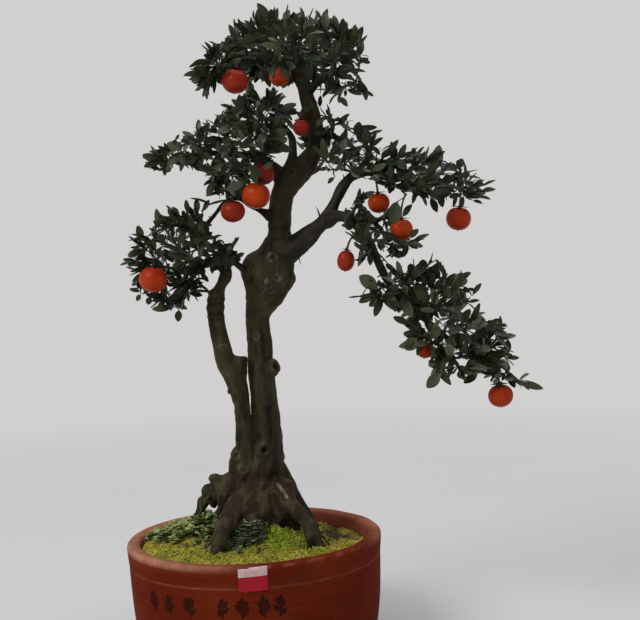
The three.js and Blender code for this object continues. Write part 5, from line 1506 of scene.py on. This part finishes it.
def fill_gaps(starts, owners):
    """Grows spurs from the nearest twig towards the places on the pads that leaves don't cover."""
    cells = []
    for pad, (corners, left) in enumerate(zip(PADS, GAPS_LEFT)):
        xs, ys = zip(*corners)
        for i in range(int(min(xs)) // CELL, int(max(xs)) // CELL + 1):
            for j in range(int(min(ys)) // CELL, int(max(ys)) // CELL + 1):
                if inside((i + 0.5) * CELL, (j + 0.5) * CELL, corners) and draw(i, j, 20) > left:
                    cells.append((draw(i, j, 19), i, j, THICKER.get(pad, 0)))
    for turn in range(FILL_ROUNDS):
        for _, i, j, more in sorted(cells):
            if cover.get((i, j), 0) > turn % 2 + more:
                continue
            keys = (i, j, turn)
            x, y = (i + draw(*keys, 6)) * CELL, (j + draw(*keys, 7)) * CELL
            scatter = 12 * np.array([draw(n, i, j, turn) for n in range(len(starts))])
            best = int((np.hypot(starts[:, 0] - x, starts[:, 1] - y) + scatter).argmin())
            spray, line, share = owners[best]
            start = line.point(share)
            end = place_seen(x, y, starts[best, 2] + 36 * (draw(*keys, 8) - 0.5)) - UP * 5
            reach = np.linalg.norm(end - start)
            wanted = min(max(reach - 0.65 * LEAF_LENGTH * spray.size, 7), SPUR_REACH)
            spray.spur(line, share, start + (end - start) * wanted / reach, keys)


# Fruits

def fruit_axis(n):
    """The way a fruit's crown points, a little off the upright."""
    lean = 0.35 * np.array([draw(n, 7) - 0.5, draw(n, 8) - 0.5, 0])
    return unit(UP + lean)


def turned_frame(axis):
    """Two directions across the axis."""
    side = unit(np.cross(axis, [0.3, 1, 0]))
    return side, np.cross(axis, side)


# How dark a red the fruits are painted, by their place in FRUITS: partly riper crimson skin, partly painted
# shade and light set fruit by fruit. The rest have the usual one.
RIPENESS_AND_SHADE = {0: 0.7, 2: 0.9, 3: 1.0, 4: 0.05, 5: 0.8, 8: 0.0, 9: 0.3, 10: 0.7, 11: 0.3, 12: 0.25}
USUAL_RIPENESS_AND_SHADE = 0.15
FRUIT_SIDES = 40


def make_fruits():
    """Each fruit with its skin and the small point below, and then its calyx."""
    skin = fruit_material()
    calyx = calyx_material()
    for n, (centre, radius, tall, _, _) in enumerate(FRUITS):
        axis = fruit_axis(n)
        side, other = turned_frame(axis)
        shells = Shells()
        angles = np.radians(np.concatenate([np.linspace(-88, 80, 22), [84, 88]]))
        turn = np.linspace(0, 2 * math.pi, FRUIT_SIDES, endpoint=False)
        ripeness_and_shade = np.full(FRUIT_SIDES, RIPENESS_AND_SHADE.get(n, USUAL_RIPENESS_AND_SHADE))
        rings = []
        values = []
        for angle in angles:
            reach = radius * math.cos(angle) ** 0.92
            lobes = 1 + 0.018 * np.cos(4 * turn + n) * math.cos(angle) + 0.012 * np.cos(turn * 2 + 2 * n)
            level = radius * tall * math.sin(angle)
            level -= 0.09 * radius * math.exp(-((90 - math.degrees(angle)) / 18) ** 2)
            ring = (np.cos(turn) * lobes)[:, None] * side + (np.sin(turn) * lobes)[:, None] * other
            rings.append(centre + ring * reach + axis * level)
            values.append(np.column_stack([np.full(FRUIT_SIDES, math.sin(angle)), turn, ripeness_and_shade]))
        shells.rings(rings, values=np.vstack(values))
        point = centre - axis * radius * tall
        tip = [(*(point + axis * 1.2), 0.9), (*point, 0.7), (*(point - axis * 1.2), 0.15)]
        shells.tube(tip, 8, value=(-1, 0, 1))
        stands_for(shells.object("skin_%02d" % (n + 1), [skin]), "fruit", "fruit_%02d" % (n + 1))
        make_calyx(n, axis, side, other, calyx)


def make_calyx(n, axis, side, other, material):
    """Four pointed lobes that flare off the crown, a hub, and the stalk to what carries it."""
    centre, radius, tall, kind, holder = FRUITS[n]
    shells = Shells()
    crown = centre + axis * radius * tall * 0.94
    reach = radius * (0.72 + 0.12 * draw(n, 62))
    for lobe in range(4):
        turn = lobe * math.pi / 2 + 0.5 * draw(n, 63)
        outward = side * math.cos(turn) + other * math.sin(turn)
        across = np.cross(outward, axis)
        curl = 0.25 + 0.9 * draw(n, lobe, 64)
        rings = []
        for share in np.linspace(0.06, 1, 8):
            width = 0.34 * reach * math.sin(math.pi * min(share * 0.62 + 0.3, 1.0)) * (1 - share**4)
            level = 0.6 + 1.2 * share - 0.35 * radius * share**2 * (1 - curl)
            level += 0.12 * radius * curl * share**3
            middle = crown + outward * reach * share + axis * level
            half = max(width, 0.12)
            thick = 0.4 * (1.15 - share)
            cup = 0.22 * half
            rings.append([middle - across * half + axis * cup, middle - axis * thick,
                          middle + across * half + axis * cup, middle + axis * thick])
        shells.rings(rings)
    stalk_foot = crown + axis * 2.2
    if kind == "spray":
        line = main_line(*SPRAYS[holder][:3])[0]
    else:
        line = LIMB_LINES[holder]
    above = crown + axis * 12
    points = line.point(np.linspace(0, 1, 41))
    start = points[np.linalg.norm(points - above, axis=1).argmin()]
    bend = crown + axis * 0.6 * np.linalg.norm(crown - start)
    thickness = 1.0 + 0.5 * np.abs(np.linspace(0, 1, 10)[:, None] - 0.35)
    shells.tube(np.hstack([bent(start, bend, crown, 10), thickness]), 7)
    shells.tube([(*(crown - axis * 0.4), 2.2), (*(crown + axis * 0.8), 2.4), (*stalk_foot, 1.3)], 10)
    stands_for(shells.object("calyx_%02d" % (n + 1), [material]), "fruit")


# Pot

# The profile, as radius and height, from the middle of the foot up the outside and down the inside.
POT_OUTSIDE = [
    (0, 0), (100, 0), (118, 0), (125, 0.4), (127.5, 1.6), (129.2, 4), (131.4, 7), (133.8, 10.2),
    (135, 12.5), (136, 16), (138, 27), (140, 42), (141.2, 56), (142, 70), (142.5, 80), (142.9, 90),
    (143.2, 99.4), (143.0, 100.3), (142.6, 101), (143.1, 101.7), (143.4, 102.6), (144.1, 110),
    (144.7, 117), (144.9, 120.6), (144.4, 122.8), (143.1, 124.3), (141.2, 125),
]
POT_INSIDE = [
    (136, 125.1), (133.2, 124.8), (131.2, 123.8), (129.9, 121.9), (129.2, 118), (128.4, 110), (126.5, 88),
    (124, 58), (122, 34), (118, 20), (112, 15), (60, 15), (0, 15),
]
FOOT_ROWS = 4  # rows of the profile before the wall starts
GROOVE = 101  # height of the groove under the lip
WALL = 142.0  # radius at which the wall is unrolled
BAND = (70.0, 93.0)  # heights between which the sprigs are engraved
BAND_EDGE = 4
FRONT_ARC = (-59, 17, 0.38)  # degrees that the engraving takes up, and the step there
SPRIG_PLACES = [-128, -102, -75, -38, -16, 7, 24]  # along the wall from the middle of the front
# Blades of one sprig: foot across and up, lean in degrees and length.
SPRIG_BLADES = [(0.5, 1, 38, 10), (-0.5, 4, -40, 10), (0.6, 8, 32, 10), (-0.4, 11, -30, 9), (0.2, 13, 6, 9)]


def engraving(across, height):
    """How deep the sprigs are cut, from 0 to 1, at places on the unrolled front wall."""
    depth = np.zeros(len(across))
    for n, place in enumerate(SPRIG_PLACES):
        lean = 0.12 * (draw(n, 41) - 0.5)
        x = across - place - (height - BAND[0]) * lean
        y = height - BAND[0]
        mirror = -1 if n % 2 else 1
        stem = np.maximum(np.abs(x - 0.5 * np.sin(y / 5 + n)), np.maximum(-y, y - 18))
        depth = np.maximum(depth, smoothstep(1.5, 0.6, stem))
        for foot, level, angle, length in SPRIG_BLADES:
            length = length * (0.85 + 0.35 * draw(n, int(level), 43))
            angle = math.radians(angle + 16 * (draw(n, int(level), 44) - 0.5))
            dx, dy = mirror * x - foot, y - level
            along = dx * math.sin(angle) + dy * math.cos(angle)
            aside = dx * math.cos(angle) - dy * math.sin(angle)
            share = np.clip(along / length, 0, 1)
            half = 2.5 * np.sin(math.pi * share**0.8) + 0.05
            blade = np.abs(aside) / half + 4 * np.maximum(np.maximum(-along, along - length), 0)
            depth = np.maximum(depth, smoothstep(1.35, 0.7, blade))
    return depth


def near_band(height):
    return (height > BAND[0] - BAND_EDGE) & (height < BAND[1] + BAND_EDGE)


def make_pot():
    """The turned body, with fine rings and columns where it is engraved."""
    fine = []
    for (r0, z0), (r1, z1) in zip(POT_OUTSIDE, POT_OUTSIDE[1:]):
        engraved = BAND[0] - BAND_EDGE < z1 and z0 < BAND[1] + BAND_EDGE
        steps = max(1, int((z1 - z0) / 0.9)) if engraved else 1
        fine += [(r0 + (r1 - r0) * n / steps, z0 + (z1 - z0) * n / steps) for n in range(steps)]
    profile = np.array(fine + [POT_OUTSIDE[-1]] + POT_INSIDE, float)
    outer = len(fine) + 1
    front = np.radians(np.arange(*FRONT_ARC))
    rest = np.linspace(front[-1], front[0] + 2 * math.pi, 150)[1:-1]
    turn = np.concatenate([front, rest])
    count, size = len(profile) - 2, len(turn)
    radius = np.repeat(profile[1:-1, 0], size)
    height = np.repeat(profile[1:-1, 1], size)
    angle = np.tile(turn, count)
    outside = np.repeat(np.arange(1, len(profile) - 1) < outer, size)
    wide = np.column_stack([np.cos(angle) * 2.2, np.sin(angle) * 2.2, height / 60])
    radius = radius + 0.45 * value_noise(wide, 5) * smoothstep(2, 12, height)
    cut = np.zeros(len(radius))
    swept = outside & near_band(height)
    cut[swept] = engraving(angle[swept] * WALL, height[swept])
    radius = radius - 1.3 * cut
    places = np.column_stack([radius * np.sin(angle), -radius * np.cos(angle), height])
    lip = smoothstep(118, 124.5, height)
    places[:, 2] += 0.5 * value_noise(places / 26, 6) * lip
    places += 0.12 * value_noise(places / 3.5, 8)[:, None] * lip[:, None]
    shells = Shells()
    middles = [[0, 0, profile[0, 1]], [0, 0, profile[-1, 1]]]
    shells.add(np.vstack([places, middles]), closed_faces(count, size))
    return shells.object("pot_body", [clay_material()])


def mark_pot(mesh):
    """Tells the shader where the pot is engraved, where its rim and inner wall are painted paler, partly a
    chalk film and partly painted light from the left, where its edges show wear and where its groove has a
    painted light line.
    """
    places = mesh_places(mesh)
    height = places[:, 2]
    radius = np.hypot(places[:, 0], places[:, 1])
    inner = sorted((h, r) for r, h in POT_INSIDE)
    outside = radius > np.interp(height, *zip(*inner)) + 5
    outside &= height < 124.9
    arc = np.arctan2(places[:, 0], -places[:, 1]) * WALL
    engraved = outside & near_band(height) & (arc > -150) & (arc < 50)
    cut = np.zeros(len(places))
    cut[engraved] = engraving(arc[engraved], height[engraved])
    # The rim and the inner wall are marked to be painted paler, most on the left: partly a chalk film,
    # partly painted light from the left.
    inner_wall = np.maximum(0.5 * smoothstep(95, 112, height), 0.7 * smoothstep(121, 124, height))
    rim = np.where(outside, smoothstep(116, 123, height), inner_wall)
    to_right = places[:, 0] / 143
    bloom_and_left_light = 0.85 * smoothstep(0.22, -0.8, to_right) + 0.45 * smoothstep(0.8, 1.0, to_right)
    rim = rim * np.where(places[:, 1] < 0, bloom_and_left_light, 0.45 + 0.55 * bloom_and_left_light)
    top_edge = np.exp(-(((height - 123.5) / 1.6) ** 2)) * outside
    foot_edge = np.exp(-(((height - 4) / 4) ** 2)) * outside
    wear_and_groove_light = np.maximum(0.7 * top_edge, 0.6 * foot_edge) * smoothstep(-0.1, 0.7, fractal(places / 7, 9, 3))
    # The groove under the lip is painted lighter too: a painted light line.
    groove = np.exp(-((height - GROOVE) ** 2)) * outside
    wear_and_groove_light = np.maximum(wear_and_groove_light, (0.5 + 0.3 * value_noise(places / 9, 12)) * groove)
    put_values(mesh, np.column_stack([cut, rim, wear_and_groove_light]))


DRAIN_ANGLES = (30, 150, 270)
DRAIN_REACH = 60  # from the middle of the foot to a hole
DRAIN_RADIUS = 8
CHANNEL = ((-7, -5), (7, -5), (7, 3.5), (5, 5), (-5, 5), (-7, 3.5))  # its section, with room below


def cut_drains(body):
    """Cuts the drain holes and their channels through the foot of the pot."""
    cutters = Shells()
    for angle in DRAIN_ANGLES:
        aim = np.array([math.cos(math.radians(angle)), math.sin(math.radians(angle)), 0])
        across = np.cross(UP, aim)
        hole = aim * DRAIN_REACH
        cutters.tube([(hole[0], hole[1], z, DRAIN_RADIUS) for z in (-5, 8, 20)], 28)
        cutters.rings([
            [aim * reach + across * x + UP * z for x, z in CHANNEL] for reach in (DRAIN_REACH, 160)
        ])
    tool = cutters.object("drain_cutter", [])
    modifier = body.modifiers.new("drains", "BOOLEAN")
    modifier.operation = "DIFFERENCE"
    modifier.solver = "EXACT"
    modifier.use_self = True
    modifier.object = tool
    graph = bpy.context.evaluated_depsgraph_get()
    mesh = bpy.data.meshes.new_from_object(body.evaluated_get(graph))
    body.modifiers.clear()
    body.data = mesh
    mark_pot(mesh)
    bpy.data.objects.remove(tool)


LABEL_MIDDLE = -3.8  # along the wall from the middle of the front
LABEL_SIZE = (30.0, 25.5)
LABEL_TOP = 124.3
WHITE_SHARE = 0.37  # of its height


def make_label():
    """A small bare label, white above and red below, that lifts a little at one corner."""
    width, height = LABEL_SIZE
    columns, rows = 24, 20
    wall_radii, wall_heights = zip(*POT_OUTSIDE[FOOT_ROWS:])
    rings = []
    values = []
    for row in range(rows + 1):
        share = row / rows
        z = LABEL_TOP - height * share
        wall = np.interp(z, wall_heights, wall_radii)
        ring = []
        for front in (True, False):
            order = range(columns + 1) if front else range(columns, -1, -1)
            for column in order:
                x = LABEL_MIDDLE + width * (column / columns - 0.5)
                curl = 1.4 * max(0, share - 0.75) ** 2 * 16 * (column / columns) ** 3
                out = wall + (0.75 if front else 0.45) + 0.35 * math.sin(column * 0.7) * 0.3 + curl
                angle = x / WALL
                tilt = 0.05 * (x - LABEL_MIDDLE)
                ring.append((out * math.sin(angle), -out * math.cos(angle), z - 0.6 + tilt))
                values.append((1.0 if share < WHITE_SHARE else 0.0, 0, 0))
        rings.append(ring)
    shells = Shells()
    shells.rings(rings, values=np.array(values))
    stands_for(shells.object("label_strip", [label_material()]), "label_paper", "label")


# Soil and moss

def soil_height(x, y):
    """The soil slopes to the back right, and rises round the trunk and in three heaps."""
    slope = 116 - 0.03 * x - 0.045 * y
    mound = 15 * np.exp(-((x + 8) ** 2 + (y - 8) ** 2) / 4600)
    west_heap = 14 * np.exp(-((x + 70) ** 2 + (y - 34) ** 2) / 1400)
    tall_moss = 18 * np.exp(-(((x - 29) / 27) ** 2) - ((y + 42) / 16) ** 2)
    tall_weeds = 20 * np.exp(-(((x + 6) / 13) ** 2) - ((y + 41) / 11) ** 2)
    cushions = 1.5 * np.sin(x / 8.5 + 1.3) * np.sin(y / 7.5 - 0.4) + 0.9 * np.sin((x + y) / 5.2)
    return slope + mound + west_heap + tall_moss + tall_weeds + cushions


def bare_soil(x, y):
    """Where the soil shows brown: behind on both sides, close to the trunk, and along the wall."""
    patchy = fractal(flat(x, y) / 13, 101, 3)
    right = smoothstep(0, 1, 1.25 - np.hypot((x - 96) / 46, (y - 30) / 62))
    left = smoothstep(0, 1, 1.2 - np.hypot((x + 98) / 26, (y - 36) / 30))
    trunk = smoothstep(48, 22, np.hypot(x - 4, y - 4))
    edge = smoothstep(123, 128, np.hypot(x, y)) * 0.8
    return np.clip(np.maximum.reduce([right, left, trunk, edge]) + 0.55 * patchy - 0.12, 0, 1)


def lush(x, y):
    """Where the moss is a fresher green, in front of the trunk."""
    return np.exp(-(((x - 22) / 30) ** 2) - ((y + 46) / 26) ** 2)


def weedy(x, y):
    """Where the greyer small-leaved plants grow, round the roots and behind on the left."""
    ring = smoothstep(20, 6, np.abs(np.hypot(x + 2, y + 14) - 52))
    back = smoothstep(0, 1, 1.35 - np.hypot((x + 76) / 42, (y - 30) / 52))
    return np.clip(np.maximum(0.35 * ring * smoothstep(10, -20, x), back), 0, 1)


def moss_top(x, y):
    """The height of the moss, with its cushions and grain."""
    places = flat(x, y)
    bare = bare_soil(x, y)
    grain = fractal(places / 17, 107, 2) * 1.8 + fractal(places / 5.2, 111, 3) * 1.5
    grain = grain + fractal(places / 1.9, 117, 2) * 0.6
    top = soil_height(x, y) + (1 - 0.6 * bare) * grain - 2.2 * bare
    radius = np.hypot(x, y)
    ceiling = 126.5 + 17 * smoothstep(90, 60, radius)
    dip = 3.5 * smoothstep(121, 128.6, radius) * (1 - 0.6 * smoothstep(60, -60, y))
    return np.minimum(top, ceiling) - dip


def moss_at(x, y):
    """The height of the moss at one place."""
    return moss_top(np.array([x]), np.array([y]))[0]


SOIL_SIDES = 420
SOIL_EDGE = 128.2
SOIL_FOOT = ((109, 16), (121, 35))  # radius and height of the rings below the top


def make_soil():
    """The soil down to the pot's floor, with its bed of moss."""
    radii = np.concatenate([[3], np.arange(6, 128, 1.7), [SOIL_EDGE]])
    cosines, sines, _ = circle(SOIL_SIDES).T
    rings = []
    values = []
    for radius, height in SOIL_FOOT:
        rings.append(np.column_stack([radius * cosines, radius * sines, np.full(SOIL_SIDES, height)]))
        values.append(np.tile([1.0, 0, 0], (SOIL_SIDES, 1)))
    for radius in radii[::-1]:
        x, y = radius * cosines, radius * sines
        z = moss_top(x, y)
        if radius == SOIL_EDGE:
            reach = np.minimum(np.interp(z, [34, 122], [121.4, 128.8]), radius)
            x, y = reach * cosines, reach * sines
        rings.append(np.column_stack([x, y, z]))
        patches = smoothstep(-0.2, 0.9, fractal(flat(x, y) / 21, 131, 2))
        tone = patches * smoothstep(60, -80, y) - 1.4 * lush(x, y)
        values.append(np.column_stack([bare_soil(x, y), weedy(x, y), tone]))
    shells = Shells()
    shells.rings(rings, values=np.vstack(values))
    stands_for(shells.object("moss_bed", [moss_material()]), "moss_soil", "soil")


def spot(n, seed, widest):
    """A place drawn from the whole round of the soil."""
    radius = widest * math.sqrt(draw(n, seed, 1))
    turn = 2 * math.pi * draw(n, seed, 2)
    return radius * math.cos(turn), radius * math.sin(turn)


TUFT_TRIES = 9000
TUFTS = 5200
WEED_TRIES = 2600
WEEDS = 300
FRONT_CLUMP = 90  # plants between the front roots, which are the first
GRAINS = 420


def near_wood(x, y):
    return math.hypot(x - 4, y - 4) < 34


def make_moss_tufts():
    """Small rounded tips that give the moss its grain."""
    material = moss_material()
    spots = np.array([spot(n, 201, 126.0) for n in range(TUFT_TRIES)])
    bare = bare_soil(*spots.T)
    grey = weedy(*spots.T)
    heights = moss_top(*spots.T)
    shells = Shells()
    kept = 0
    for n, (x, y) in enumerate(spots):
        if bare[n] > 0.45 or near_wood(x, y) or kept >= TUFTS:
            continue
        kept += 1
        size = 0.8 + 1.3 * draw(n, 202)
        lean = 0.8 * (draw(n, 203) - 0.5), 0.8 * (draw(n, 204) - 0.5)
        base = np.array([x, y, heights[n] - 0.8])
        rings = []
        for share, reach in ((0, 0.7), (0.5, 1.0), (0.85, 0.55)):
            middle = base + np.array([lean[0], lean[1], 1.6]) * size * share
            rings.append(middle + circle(5, n) * size * reach * 0.62)
        tone = draw(n, 205) * smoothstep(70, -70, y) - 1.4 * lush(x, y)
        shells.rings(rings, values=np.tile([0.0, grey[n], tone], (15, 1)))
    stands_for(shells.object("moss_tufts", [material]), "moss_soil")


def make_weeds():
    """Low plants with small leaves among the roots."""
    plants = Shells()
    made = 0
    for n in range(WEED_TRIES):
        x, y = spot(n, 301, 122)
        clump = n < FRONT_CLUMP
        if clump:
            x, y = 32 * (draw(n, 311) - 0.5) - 6, 28 * (draw(n, 312) - 0.5) - 45
        elif near_wood(x, y) or made > WEEDS or draw(n, 302) > weedy(np.array([x]), np.array([y]))[0]:
            continue
        made += 1
        z = moss_at(x, y)
        heap = float(smoothstep(60, 40, math.hypot(x + 72, y - 26)))
        for leaf in range(4 + int(3 * draw(n, 303))):
            keys = (n, leaf)
            turn = leaf * GOLDEN_ANGLE + 6 * draw(n, 304)
            rise = 0.35 + 0.9 * draw(*keys, 305)
            direction = unit([math.cos(turn), math.sin(turn), rise])
            base = np.array([x, y, z + 1.5 * leaf * 0.5])
            length = (4.0 + 4.5 * draw(*keys, 306)) * (1 + 0.7 * heap + 0.6 * clump)
            side = unit(np.cross(direction, UP))
            normal = np.cross(side, direction)
            rings = []
            for share, width in ((0, 0.12), (0.4, 0.32), (0.7, 0.4), (0.92, 0.2)):
                middle = base + direction * length * share - UP * 0.25 * length * share**2
                half, thick = side * width * length, normal * 0.2
                rings.append([middle - half, middle + thick, middle + half, middle - thick])
            plants.rings(rings, values=np.tile([heap, 0, draw(*keys, 307)], (16, 1)))
    stands_for(plants.object("weeds", [weed_material()]), "leaf")


def make_grit():
    """Grains on the soil."""
    grit = Shells()
    for n in range(GRAINS):
        x, y = spot(n, 401, 124)
        if near_wood(x, y) and draw(n, 409) > 0.4:
            continue
        z = moss_at(x, y)
        size = 0.7 + 1.5 * draw(n, 402) ** 2
        rings = []
        for share, reach in ((-0.6, 0.6), (0, 1.0), (0.55, 0.7)):
            wobble = 1 + 0.4 * np.array([draw(n, k, 403) - 0.5 for k in range(6)])
            ring = circle(6) * wobble[:, None] * (1, 0.8, 1)
            rings.append(np.array([x, y, z + 0.3 + share * size * 0.8]) + ring * size * reach)
        grit.rings(rings, values=np.tile([0, 0, draw(n, 404) ** 2], (18, 1)))
    stands_for(grit.object("soil_grit", [grit_material()]), "moss_soil")


# The room

BACKDROP = (0.645, 0.63, 0.622)
FLOOR = 40.0  # half its width, in metres


def make_floor():
    """A pale floor that fades into the backdrop."""
    corners = [(FLOOR * x, FLOOR * y, 0) for x, y in ((-1, -1), (1, -1), (1, 1), (-1, 1))]
    mesh = bpy.data.meshes.new("floor")
    mesh.from_pydata(corners, [], [(0, 1, 2, 3)])
    s = Shader("pale_floor", Roughness=0.9, Specular_IOR_Level=0.2)
    pale = s.mix(s.spread(s.noise(3, 3), 0.3, 0.7, 0, 0.5), (0.66, 0.645, 0.64), (0.62, 0.605, 0.6))
    s.set(Base_Color=pale)
    glow = s.node("Emission", {"Color": (*BACKDROP, 1), "Strength": 1.0})
    distance = s.node("VectorMath", {0: s.place()}, output="Value", operation="LENGTH")
    fade = s.node("MixShader", {0: s.spread(distance, 0.5, 1.9), 1: s.surface.outputs[0], 2: glow})
    output = [node for node in s.tree.nodes if node.type == "OUTPUT_MATERIAL"][0]
    s.tree.links.new(fade, output.inputs[0])
    floor = placed("floor", mesh, [s.material])


def make_world():
    """Soft even light from all round, with a plain backdrop."""
    world = bpy.data.worlds.new("room")
    world.use_nodes = True
    bpy.context.scene.world = world
    tree = world.node_tree
    tree.nodes.clear()
    seen = tree.nodes.new("ShaderNodeBackground")
    seen.inputs["Color"].default_value = (*BACKDROP, 1)
    light = tree.nodes.new("ShaderNodeBackground")
    light.inputs["Color"].default_value = (0.95, 0.97, 1.0, 1)
    light.inputs["Strength"].default_value = 0.42
    path = tree.nodes.new("ShaderNodeLightPath")
    mix = tree.nodes.new("ShaderNodeMixShader")
    output = tree.nodes.new("ShaderNodeOutputWorld")
    tree.links.new(path.outputs["Is Camera Ray"], mix.inputs[0])
    tree.links.new(light.outputs[0], mix.inputs[1])
    tree.links.new(seen.outputs[0], mix.inputs[2])
    tree.links.new(mix.outputs[0], output.inputs[0])


def make_lamp(name, place, aim, size, power, colour):
    """A round soft lamp. Places and sizes are in metres, the power is in watts."""
    lamp = bpy.data.lights.new(name, "AREA")
    lamp.shape = "DISK"
    lamp.size = size
    lamp.energy = power
    lamp.color = colour
    piece = bpy.data.objects.new(name, lamp)
    bpy.context.scene.collection.objects.link(piece)
    away = unit(np.array(place) - np.array(aim))
    side = unit(np.cross(UP, away))
    axes = np.column_stack([side, np.cross(away, side), away])
    piece.matrix_world = Matrix.LocRotScale(place, Matrix(axes.tolist()), None)


def make_camera():
    camera = bpy.data.cameras.new("camera")
    camera.sensor_width = 36
    camera.lens = 36 * FOCAL / PICTURE_WIDTH
    piece = bpy.data.objects.new("camera", camera)
    bpy.context.scene.collection.objects.link(piece)
    axes = np.column_stack([RIGHTWARD, UPWARD, -FORWARD])
    piece.matrix_world = Matrix.LocRotScale(EYE * MM, Matrix(axes.tolist()), None)
    bpy.context.scene.camera = piece


make_trunk()
make_branches()
make_thorns()
make_sprays()
make_fruits()
pot = make_pot()
cut_drains(pot)
stands_for(pot, "terracotta", "pot")
make_label()
make_soil()
make_moss_tufts()
make_weeds()
make_grit()
make_floor()
make_world()
make_lamp("key", (-1.7, -1.3, 2.3), (0, 0, 0.4), 1.6, 42, (1.0, 0.98, 0.95))
make_lamp("top", (0.6, 0.5, 2.6), (0.05, 0, 0.4), 2.0, 26, (0.95, 0.98, 1.0))
make_camera()
bpy.context.scene.view_settings.view_transform = "Standard"
